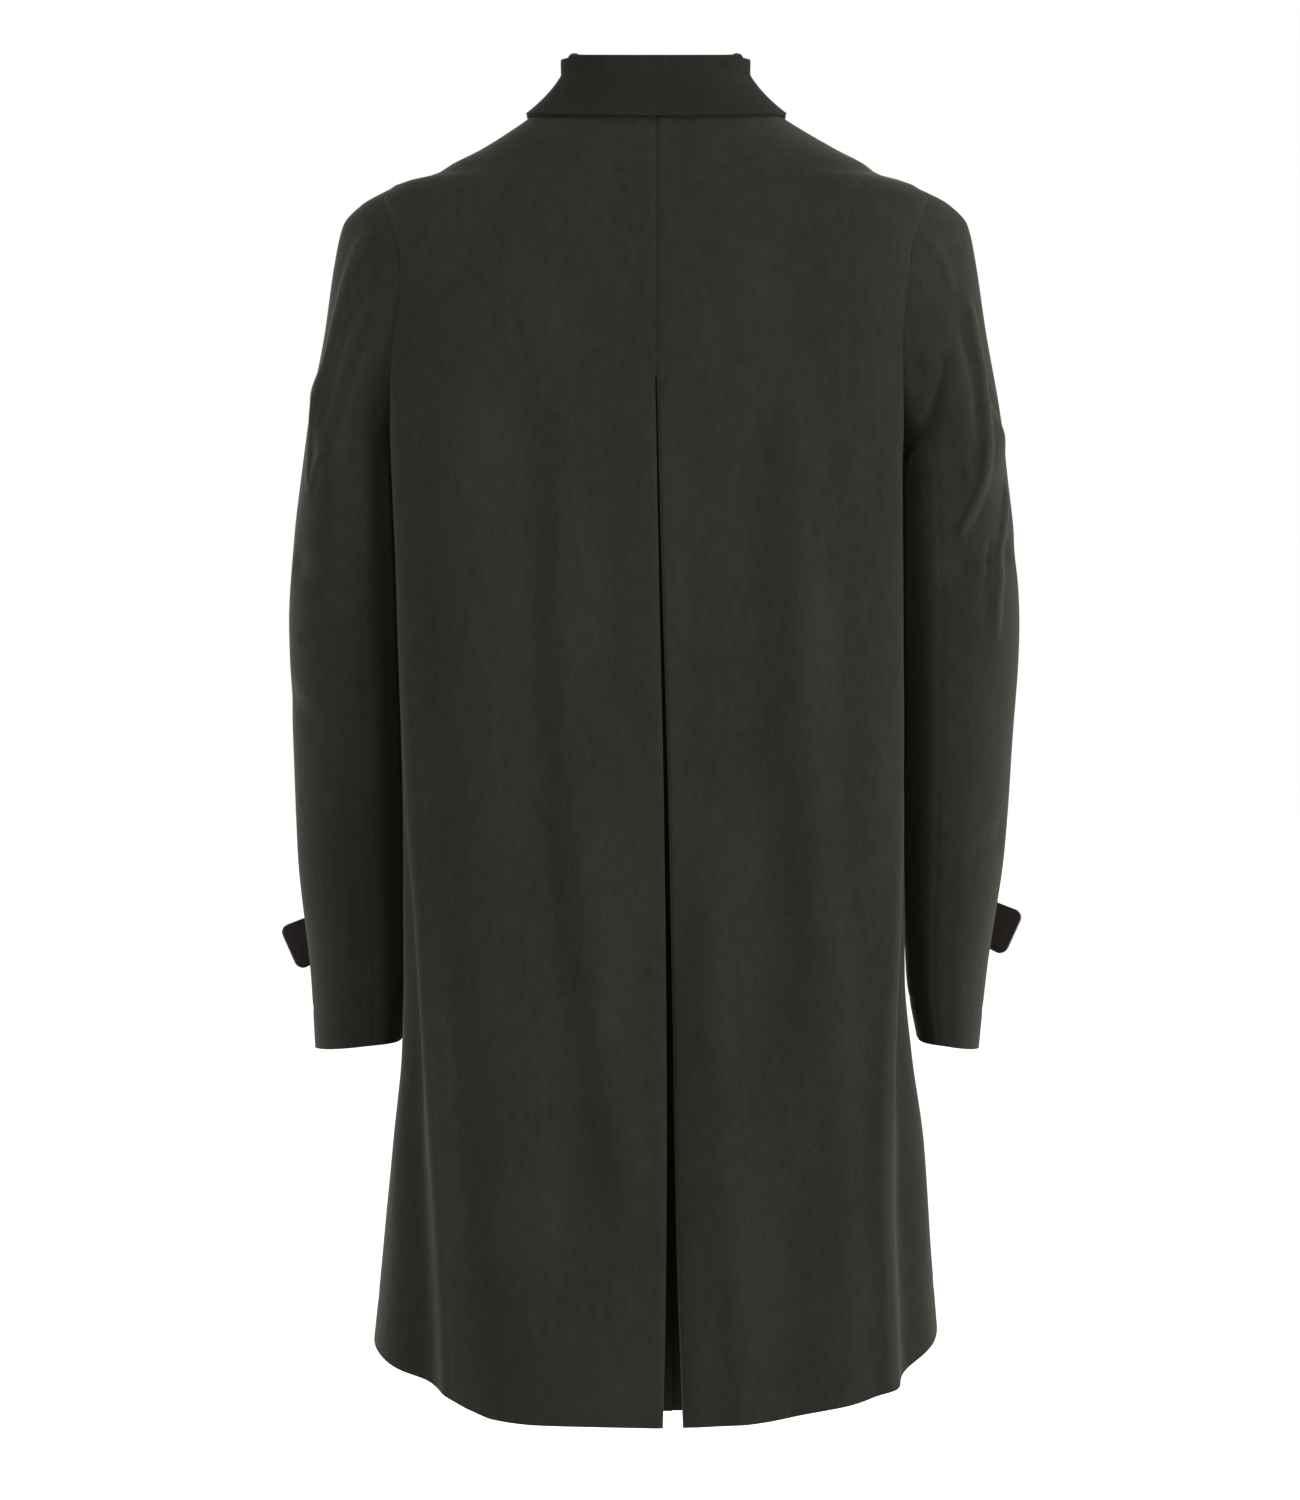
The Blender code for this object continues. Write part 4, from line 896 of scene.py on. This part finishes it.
def grainMaterial(name, dark, light, scale, streak, roughness, relief, coatWeight=0.0):
    material, tree = newMaterial(name)
    face = {"Dark": (*dark, 1), "Light": (*light, 1), "Scale": scale, "Streak": streak}
    looks = {"Roughness": roughness, "Coat Weight": coatWeight}
    surface(tree, grain, face, relief, loden["grainDepth"], looks)
    return material


lodenCloth = lodenMaterial("loden wool")
# painted shade: the collar gets a darker copy of the same loden wool, with less sheen
shadedCollarWool = lodenMaterial("loden wool of the collar with painted shade", 0.65, 0.4)
# dark and light colour, scale and streak of the grain, roughness, bump and coat
tabLeather = grainMaterial("dark brown leather", (0.019, 0.013, 0.0115), (0.044, 0.032, 0.028),
                           900.0, 1.0, 0.52, 0.5)
buttonHorn = grainMaterial("polished horn", (0.018, 0.010, 0.006), (0.075, 0.045, 0.026),
                           130.0, 0.3, 0.26, 0.05, 0.3)
oliveThread = grainMaterial("olive thread", (0.008, 0.0085, 0.006), (0.017, 0.018, 0.013),
                            2500.0, 1.0, 0.9, 0.3)
brownThread = grainMaterial("brown thread", (0.035, 0.026, 0.020), (0.075, 0.056, 0.044),
                            2500.0, 1.0, 0.7, 0.3)
print("materials made")


def dress(piece, slot, *nodes):
    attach(piece, "root")
    if nodes:
        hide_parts(*nodes)
    return piece


# the cut size of each sheet: width, length, and area of the shaped cut
flatCut = {
    "back": {"flat": (0.53, 1.08), "area": 0.470},
    "front": {"flat": (0.44, 1.06), "area": 0.370},
    "sleeve_top": {"flat": (0.25, 0.72), "area": 0.140},
    "sleeve_under": {"flat": (0.19, 0.60), "area": 0.088},
    "collar": {"flat": (0.12, 0.58), "area": 0.050},
    "tab": {"flat": (0.037, 0.090), "area": 0.0031},
}
cloth = {}
curves = {}
for side in sides:
    curves[side] = armholeCurve(side)
    cut = sleeveCut
    topStart = cut["frontSeam"] - cut["steps"]
    panels = {
        "back": backPanel(side),
        "front": frontPanel(side),
        "sleeve_top": sleevePanel(side, topStart, cut["backSeam"], cut["topColumns"], curves[side]),
        "sleeve_under": sleevePanel(side, cut["backSeam"], cut["frontSeam"], cut["underColumns"],
                                    curves[side]),
    }
    for name, (grid, paintedHighlight) in panels.items():
        node = f"{name}_{side}"
        cloth[node] = clothObject("cloth_" + node, grid, coat["wall"], lodenCloth, paintedHighlight)
        dress(cloth[node], "loden", node)
    print("cloth of the", side, "side made")
collarGrid, paintedHighlight = collarPanel()
cloth["collar"] = clothObject("cloth_collar", collarGrid, collarCut["wall"], shadedCollarWool, paintedHighlight)
dress(cloth["collar"], "loden", "collar")
print("collar made")


# leather straps on the sleeves
strap = {"height": {"left": -0.658, "right": -0.646}, "width": 0.036, "free": 0.046, "slope": 0.38,
         "drop": 0.003, "first": 15, "last": 18, "leaves": 2.5, "overChord": 1.03, "wall": 0.003,
         "corner": 0.007, "edge": 0.0006, "along": 60, "across": 22}


def strapAngle(step):
    return 2 * math.pi * step / sleeveCut["steps"] - 2 * math.pi


def strapFrame(side):
    theta = strapAngle(np.array([strap["first"], strap["last"]]))
    ends = sleeve(side, theta, strap["height"][side], curves[side])
    step = float(np.linalg.norm(ends[1] - ends[0])) / (strap["last"] - strap["first"]) * strap["overChord"]
    return step, strap["last"] - strap["first"] + strap["free"] / step


def strapPoints(side, along, across, lift):
    # along and across in metres from the sewn end and the middle line
    along, across = np.broadcast_arrays(np.asarray(along, float), np.asarray(across, float))
    step, _ = strapFrame(side)
    leaves = strap["leaves"]  # steps after which the strap leaves the sleeve
    u = np.minimum(along / step, leaves)
    theta = strapAngle(strap["first"] + u)
    height = strap["height"][side]
    onSleeve = sleeve(side, theta, height + across - strap["drop"] * u, curves[side], lift)
    last = strapAngle(strap["first"] + leaves + np.array([-0.5, 0.5]))
    chord = np.diff(sleeve(side, last, height, curves[side], lift), axis=0)[0]
    chord[2] = 0
    chord /= np.linalg.norm(chord)
    free = np.maximum(along - leaves * step, 0)
    share = free / (strap["free"] + 0.5 * step)
    points = onSleeve + chord * (free + across * strap["slope"] * share)[..., None]
    points[..., 2] -= strap["slope"] * free
    return points


def strapHalf(side, along):
    step, end = strapFrame(side)
    toEnd = np.minimum(along, end * step - along)
    r = strap["corner"]
    return strap["width"] / 2 - r + np.sqrt(np.maximum(r * r - np.maximum(r - toEnd, 0) ** 2, 0))


strapLift = coat["wall"] / 2 + coat["restGap"] + strap["wall"] / 2
straps = {}
for side in sides:
    step, end = strapFrame(side)
    along = (1 - np.cos(np.linspace(0, math.pi, strap["along"] + 1))) / 2 * end * step
    across = np.linspace(-1, 1, strap["across"] + 1)[:, None] * strapHalf(side, along)
    grid = strapPoints(side, along[None, :], across, strapLift)
    straps[side] = clothObject("leather_tab_" + side, grid, strap["wall"], tabLeather)
    soften = straps[side].modifiers.new("rounded edge", "BEVEL")
    soften.width = strap["edge"]
    soften.segments = 2
    soften.limit_method = "ANGLE"
    soften.angle_limit = math.radians(50)
    dress(straps[side], "tab_leather", "tab_" + side)
print("leather tabs made")


# turned horn buttons with four holes
button = {"radius": 0.014, "height": 0.0045, "top": -0.108, "spacing": 0.155, "count": 4,
          "tabRadius": 0.0105, "tabHeight": 0.0040, "hole": 0.11, "holeOffset": 0.20, "holeSides": 16,
          "thread": 0.042, "threadGap": 0.045, "steps": 56}


def buttonBody(name, radius, height):
    profile = ((0, 0.50), (0.30, 0.50), (0.52, 0.56), (0.63, 0.74), (0.70, 0.93), (0.77, 1.0), (0.85, 0.985),
               (0.93, 0.90), (0.98, 0.74), (1.0, 0.56), (0.985, 0.36), (0.93, 0.14), (0.86, 0.0), (0, 0))
    mesh = bpy.data.meshes.new(name)
    places = [(x * radius, 0, z * height) for x, z in profile]
    mesh.from_pydata(places, [(i, i + 1) for i in range(len(places) - 1)], [])
    turned = intoScene(name, mesh)
    screw = turned.modifiers.new("turn", "SCREW")
    screw.steps = screw.render_steps = button["steps"]
    screw.use_merge_vertices = True
    screw.merge_threshold = 0.00005
    screw.use_normal_calculate = True
    drills = bpy.data.meshes.new("drills")
    points, faces = [], []
    count, offset, hole = (button[name] for name in ("holeSides", "holeOffset", "hole"))
    for x, y in ((1, 1), (1, -1), (-1, -1), (-1, 1)):
        low = [len(points) + i for i in range(count)]
        high = [i + count for i in low]
        for level in (-0.5, 1.5):
            for i in range(count):
                a = 2 * math.pi * i / count
                points.append((radius * (offset * x + hole * math.cos(a)),
                               radius * (offset * y + hole * math.sin(a)), level * height))
        faces += [(low[i], low[(i + 1) % count], high[(i + 1) % count], high[i]) for i in range(count)]
        faces += [tuple(reversed(low)), tuple(high)]
    drills.from_pydata(points, [], faces)
    cutter = intoScene("drills", drills)
    cut = turned.modifiers.new("holes", "BOOLEAN")
    cut.object = cutter
    cut.solver = "EXACT"
    made = evaluatedMesh(turned)
    bpy.data.objects.remove(turned)
    bpy.data.objects.remove(cutter)
    made.shade_smooth()
    made.set_sharp_from_angle(angle=math.radians(40))
    made.materials.clear()
    made.materials.append(buttonHorn)
    return made


def threadBody(name, radius, height):
    # two rows of thread from hole to hole
    curve = bpy.data.curves.new(name, "CURVE")
    curve.dimensions = "3D"
    curve.bevel_depth = radius * button["thread"]
    curve.bevel_resolution = 2
    reach = button["holeOffset"] * radius
    path = ((-1.0, 0.02), (-1.0, 0.42), (-0.80, 0.56), (0, 0.62), (0.80, 0.56), (1.0, 0.42), (1.0, 0.02))
    for side in (-1, 1):
        for shift in (-button["threadGap"], button["threadGap"]):
            line = curve.splines.new("POLY")
            line.points.add(len(path) - 1)
            for point, (x, z) in zip(line.points, path):
                point.co = (x * reach, side * reach + shift * radius, z * height, 1)
    holder = intoScene(name, curve)
    made = evaluatedMesh(holder)
    bpy.data.objects.remove(holder)
    made.materials.clear()
    made.materials.append(brownThread)
    made.shade_smooth()
    return made


def placeMesh(name, mesh, place, outward, slot, *nodes):
    piece = intoScene(name, mesh.copy())
    turn = Vector(outward).to_track_quat("Z", "Y").to_matrix().to_4x4()
    turn.translation = Vector(place)
    piece.data.transform(turn)
    return dress(piece, slot, *nodes)


def frontward(normal):
    normal = np.asarray(normal, float) / np.linalg.norm(normal)
    return -normal if normal[1] > 0 else normal


bodies = {}
for size, r, h in (("large", "radius", "height"), ("small", "tabRadius", "tabHeight")):
    bodies[size] = (buttonBody("button_" + size, button[r], button[h]),
                    threadBody("thread_" + size, button[r], button[h]))
for number in range(button["count"]):
    z = button["top"] - button["spacing"] * number
    points = body("left", "front", [1.0, 1.0, 1.0], np.array([z, z + 0.01, z - 0.01]))
    outward = frontward(np.cross(points[1] - points[2], (1, 0, 0)))
    place = points[0] + outward * (coat["wall"] / 2 + coat["restGap"])
    placeMesh(f"horn_button_{number + 1}", bodies["large"][0], place, outward, "horn", f"button_{number + 1}")
    placeMesh(f"button_thread_{number + 1}", bodies["large"][1], place, outward, "loden")
for side in sides:
    step, _ = strapFrame(side)
    around = np.array([1.0, 2.0, 1.5, 1.5, 1.5]) * step
    near = strapPoints(side, around, np.array([0, 0, 0.01, -0.01, 0]), strapLift)
    outward = frontward(np.cross(near[1] - near[0], near[2] - near[3]))
    place = near[4] + outward * (strap["wall"] / 2 + coat["restGap"])
    placeMesh("horn_button_tab_" + side, bodies["small"][0], place, outward, "horn", "tab_button_" + side)
    placeMesh("button_thread_tab_" + side, bodies["small"][1], place, outward, "tab_leather")
print("buttons made")


# one tree lays every row of stitches along its line, and each stitch differs a little in size
stitchVaries = (0.86, 1.10)


def stitchTree():
    tree, given, out = newTree(
        "stitch row", "GeometryNodeTree",
        {"Geometry": ("Geometry", None), "Pitch": ("Float", 0.004), "Length": ("Float", 0.0028),
         "Width": ("Float", 0.0006), "Height": ("Float", 0.0004), "Across": ("Bool", False),
         "Seed": ("Int", 5), "Thread": ("Material", None)},
        {"Geometry": "Geometry"})
    line = addNode(tree, "GeometryNodeMeshToCurve", {"Mesh": given.outputs["Geometry"]})
    spaced = addNode(tree, "GeometryNodeResampleCurve",
                     {"Curve": line.outputs["Curve"], "Length": given.outputs["Pitch"]}, mode="LENGTH")
    lie = addNode(tree, "GeometryNodeInputNamedAttribute", {"Name": "outward"},
                  data_type="FLOAT_VECTOR").outputs["Attribute"]
    tangent = addNode(tree, "GeometryNodeInputTangent").outputs[0]
    sideways = addNode(tree, "ShaderNodeVectorMath", {0: tangent, 1: lie}, operation="CROSS_PRODUCT")
    way = addNode(tree, "GeometryNodeSwitch",
                  {"Switch": given.outputs["Across"], "False": tangent, "True": sideways.outputs["Vector"]},
                  input_type="VECTOR")
    align = "FunctionNodeAlignRotationToVector"
    along = addNode(tree, align, {"Vector": way.outputs["Output"]}, axis="X")
    up = addNode(tree, align, {"Rotation": along.outputs["Rotation"], "Vector": lie},
                 axis="Z", pivot_axis="X")
    bead = addNode(tree, "GeometryNodeMeshIcoSphere", {"Radius": 0.5, "Subdivisions": 1})
    smooth = addNode(tree, "GeometryNodeSetShadeSmooth", {"Geometry": bead.outputs["Mesh"]})
    size = addNode(tree, "ShaderNodeCombineXYZ",
                   {"X": given.outputs["Length"], "Y": given.outputs["Width"], "Z": given.outputs["Height"]})
    smallest, largest = stitchVaries
    chance = addNode(tree, "FunctionNodeRandomValue",
                     {2: smallest, 3: largest, "Seed": given.outputs["Seed"]})
    varied = addNode(tree, "ShaderNodeVectorMath", {0: size.outputs["Vector"], "Scale": chance.outputs[1]},
                     operation="SCALE")
    laid = addNode(tree, "GeometryNodeInstanceOnPoints",
                   {"Points": spaced.outputs["Curve"], "Instance": smooth.outputs["Geometry"],
                    "Rotation": up.outputs["Rotation"], "Scale": varied.outputs["Vector"]})
    real = addNode(tree, "GeometryNodeRealizeInstances", {"Geometry": laid.outputs["Instances"]})
    painted = addNode(tree, "GeometryNodeSetMaterial",
                      {"Geometry": real.outputs["Geometry"], "Material": given.outputs["Thread"]})
    setInputs(tree, out, {"Geometry": painted.outputs["Geometry"]})
    return tree


stitchRow = stitchTree()
stitch = {"edge": {"Pitch": 0.0042, "Length": 0.0031, "Width": 0.0007, "Height": 0.0005},
          "felled": {"Pitch": 0.0070, "Length": 0.0016, "Width": 0.0005, "Height": 0.0003},
          "tack": {"Pitch": 0.0016, "Length": 0.0019, "Width": 0.0007, "Height": 0.0006},
          "hole": {"Pitch": 0.0008, "Length": 0.0021, "Width": 0.0007, "Height": 0.0006, "Across": True},
          "leather": {"Pitch": 0.0034, "Length": 0.0025, "Width": 0.0006, "Height": 0.0005}}


def stitches(name, lines, kind, thread, slot):
    points, edges, outward = [], [], []
    for line, normals in lines:
        first = len(points)
        points += [tuple(p) for p in line]
        outward += [tuple(n) for n in normals]
        edges += [(first + i, first + i + 1) for i in range(len(line) - 1)]
    mesh = bpy.data.meshes.new(name)
    mesh.from_pydata(points, edges, [])
    looks = mesh.attributes.new("outward", "FLOAT_VECTOR", "POINT")
    looks.data.foreach_set("vector", np.array(outward).ravel())
    guide = intoScene(name + "_line", mesh)
    rows = guide.modifiers.new("stitches", "NODES")
    rows.node_group = stitchRow
    inputs = [item for item in stitchRow.interface.items_tree if item.in_out == "INPUT"]
    sockets = {item.name: item.identifier for item in inputs}
    for label, value in {**stitch[kind], "Thread": thread, "Seed": len(points) % 97}.items():
        rows[sockets[label]] = value
    made = evaluatedMesh(guide)
    bpy.data.objects.remove(guide)
    return dress(intoScene(name, made), slot)


# where the rows of stitches run: degrees round the sleeve, heights and distances
seamPlan = {"sink": 0.0001, "probe": 0.001, "points": 400, "shortPoints": 60,
            "backHemEnd": 0.955, "frontHemEnd": 0.99, "armholeOnSleeve": 0.014, "armholeSpan": (-104, 111),
            "edgeInside": 0.006, "edgeSpan": (-0.105, -1.008), "collarInside": 0.006, "collarEnds": 6,
            "holeLength": 0.031, "holePast": 0.003, "holeHalf": 0.0016, "strapInside": 0.0030,
            "tackStart": 0.001, "tackAbove": 0.0018, "tack": (("left", 0.021, 0.0), ("right", 0.040, 0.009))}


def faced(surface, lift):
    # the points of a line on the outer face and the way that face looks
    points = surface(lift - seamPlan["sink"])
    outward = surface(lift + seamPlan["probe"]) - points
    return points, outward / np.linalg.norm(outward, axis=-1, keepdims=True)


def gridLine(grid, i, j):
    # points at fractional rows i and columns j of a grid
    i, j = np.broadcast_arrays(np.asarray(i, float), np.asarray(j, float))
    i0 = np.clip(i.astype(int), 0, grid.shape[0] - 2)
    j0 = np.clip(j.astype(int), 0, grid.shape[1] - 2)
    ti, tj = (i - i0)[..., None], (j - j0)[..., None]
    return ((grid[i0, j0] * (1 - ti) + grid[i0 + 1, j0] * ti) * (1 - tj)
            + (grid[i0, j0 + 1] * (1 - ti) + grid[i0 + 1, j0 + 1] * ti) * tj)


half = coat["wall"] / 2
even = np.linspace(0, 1, seamPlan["points"])
for side in sides:
    hemAtSide = float(through(hemTable, side, 0.0, key="at"))
    fBack, fFront = even * seamPlan["backHemEnd"], even * seamPlan["frontHemEnd"]
    backHem = through(hemTable, side, fBack, key="at") + sewn["hemUp"]
    frontHem = rowHeights(side, "front", hemAtSide, fFront) + sewn["hemUp"]
    lines = [faced(lambda lift: body(side, "back", fBack, backHem, lift), half),
             faced(lambda lift: body(side, "front", fFront, frontHem, lift), half)]
    stitches("hem_stitches_" + side, lines, "felled", oliveThread, "loden")

    theta = np.radians(np.linspace(*seamPlan["armholeSpan"], seamPlan["points"]))
    slope = np.hypot(1, armHalf * np.sin(theta) / armRoom["radius"])
    height = armMiddle + armHalf * np.cos(theta) - seamPlan["armholeOnSleeve"] * slope
    lines = [faced(lambda lift: sleeve(side, theta, height, curves[side], lift), half)]
    stitches("armhole_stitches_" + side, lines, "edge", oliveThread, "loden")

    step, end = strapFrame(side)
    inside = seamPlan["strapInside"]
    run = inside + (1 - np.cos(even * math.pi)) / 2 * (end * step - 2 * inside)
    inner = (run - inside) / (1 - 2 * inside / (end * step))
    reach = np.minimum(strapHalf(side, run), strapHalf(side, inner)) - inside
    run = np.concatenate([run, run[::-1], run[:1]])
    reach = np.concatenate([reach, -reach[::-1], reach[:1]])
    lines = [faced(lambda lift: strapPoints(side, run, reach, strapLift + lift), strap["wall"] / 2)]
    stitches("strap_stitches_" + side, lines, "leather", brownThread, "tab_leather")
print("hem, armhole and strap stitches made")

zEdge = np.linspace(*seamPlan["edgeSpan"], seamPlan["points"])
fEdge = 1 + (coat["lapWidth"] - seamPlan["edgeInside"]) / girthAt("left", "front", zEdge)
stitches("front_edge_stitches", [faced(lambda lift: body("left", "front", fEdge, zEdge, lift), half)],
         "edge", oliveThread, "loden")

toEdge = toCollarEdge(collarGrid)
row = np.arange(seamPlan["collarEnds"], len(collarGrid) - seamPlan["collarEnds"])
steps = np.arange(toEdge.shape[1])
column = np.array([np.interp(-seamPlan["collarInside"], -toEdge[i], steps) for i in row])
line = gridLine(collarGrid, row, column)
beside = gridLine(collarGrid, row, column + 1)
outward = np.cross(np.gradient(line, axis=0), beside - line)
outward *= (np.sign((outward[:, :2] * line[:, :2]).sum(axis=1)) / np.linalg.norm(outward, axis=1))[:, None]
line = line + outward * (collarCut["wall"] / 2 - seamPlan["sink"])
stitches("collar_stitches", [(line, outward)], "edge", oliveThread, "loden")

lines = []
for side, length, drop in seamPlan["tack"]:
    place = np.linspace(seamPlan["tackStart"], length, seamPlan["shortPoints"])
    height = coat["pleatTop"] + seamPlan["tackAbove"] - drop * place / length
    f = 1 - place / girthAt(side, "back", height)
    lines.append(faced(lambda lift: body(side, "back", f, height, lift), half))
stitches("pleat_tack_stitches", lines, "tack", oliveThread, "loden")

lines = []
for number in range(button["count"]):
    past = seamPlan["holePast"]
    across = np.linspace(past, past - seamPlan["holeLength"], seamPlan["shortPoints"])
    for shift in (-seamPlan["holeHalf"], seamPlan["holeHalf"]):
        height = np.full(len(across), button["top"] - button["spacing"] * number + shift)
        f = 1 + across / girthAt("left", "front", height)
        lines.append(faced(lambda lift: body("left", "front", f, height, lift), half))
stitches("buttonhole_stitches", lines, "hole", oliveThread, "loden")
print("front, collar, tack and buttonhole stitches made")

# the floor, the light and the camera
studio = {"floor": -1.56, "floorHalf": 30.0, "floorColour": 0.80, "floorRoughness": 0.9, "floorGlow": 0.90,
          "backdrop": 1.0, "skyLight": 0.31,
          "camera": (0.0045, 3.32, -0.464), "pitch": 0.97, "lens": 99.1, "sensor": 36.0}
lampRow = namedtuple("lampRow", "name place size power aim")
lamps = (
    lampRow("key", (-2.75, 1.75, -0.10), (0.9, 1.1), 51, -0.30),
    lampRow("fill", (2.2, 2.3, 0.7), (1.0, 1.0), 18, -0.05),
    lampRow("left rim", (2.4, -1.0, 0.4), (0.5, 0.7), 5, 0.1),
    lampRow("right rim", (-2.4, -0.9, 0.6), (0.5, 0.7), 14, 0.1),
    lampRow("top", (0.3, 1.3, 2.3), (1.2, 0.8), 8, -0.05),
    lampRow("front", (0.6, -3.0, 0.7), (2.0, 2.0), 40, -0.5),
)
floor = bpy.data.meshes.new("floor")
floorHalf = studio["floorHalf"]
corners = ((-floorHalf, -floorHalf), (floorHalf, -floorHalf), (floorHalf, floorHalf), (-floorHalf, floorHalf))
floor.from_pydata([(x, y, studio["floor"]) for x, y in corners], [], [(0, 1, 2, 3)])
floorObject = intoScene("floor", floor)
pale, paleTree = newMaterial("pale floor")
setInputs(paleTree, paleTree.nodes["Principled BSDF"],
          {"Base Color": (*[studio["floorColour"]] * 3, 1), "Roughness": studio["floorRoughness"],
           "Emission Color": (1, 1, 1, 1), "Emission Strength": studio["floorGlow"]})
floor.materials.append(pale)
floorObject.visible_diffuse = False

world = bpy.data.worlds.new("white studio")
bpy.context.scene.world = world
world.use_nodes = True
sky = world.node_tree
# the backdrop stays white while the room itself is dimmer
seen = addNode(sky, "ShaderNodeLightPath").outputs["Is Camera Ray"]
strength = addNode(sky, "ShaderNodeMapRange",
                   {"To Min": studio["skyLight"], "To Max": studio["backdrop"], "Value": seen})
setInputs(sky, sky.nodes["Background"], {"Color": (1, 1, 1, 1), "Strength": strength.outputs["Result"]})
for each in lamps:
    lamp = bpy.data.lights.new(each.name, "AREA")
    lamp.shape = "RECTANGLE"
    lamp.size, lamp.size_y = each.size
    lamp.energy = each.power
    holder = intoScene(each.name, lamp)
    holder.location = each.place
    look = Vector((0, 0, each.aim)) - Vector(each.place)
    holder.rotation_euler = look.to_track_quat("-Z", "Y").to_euler()
lens = bpy.data.cameras.new("camera")
lens.lens = studio["lens"]
lens.sensor_width = studio["sensor"]
eye = intoScene("camera", lens)
eye.location = studio["camera"]
eye.rotation_euler = (math.radians(90 - studio["pitch"]), 0, math.pi)
bpy.context.scene.camera = eye
bpy.context.scene.view_settings.view_transform = "Standard"
print("studio made")

for node, piece in cloth.items():
    cut = flatCut[node.removesuffix("_left").removesuffix("_right")]
for side in sides:
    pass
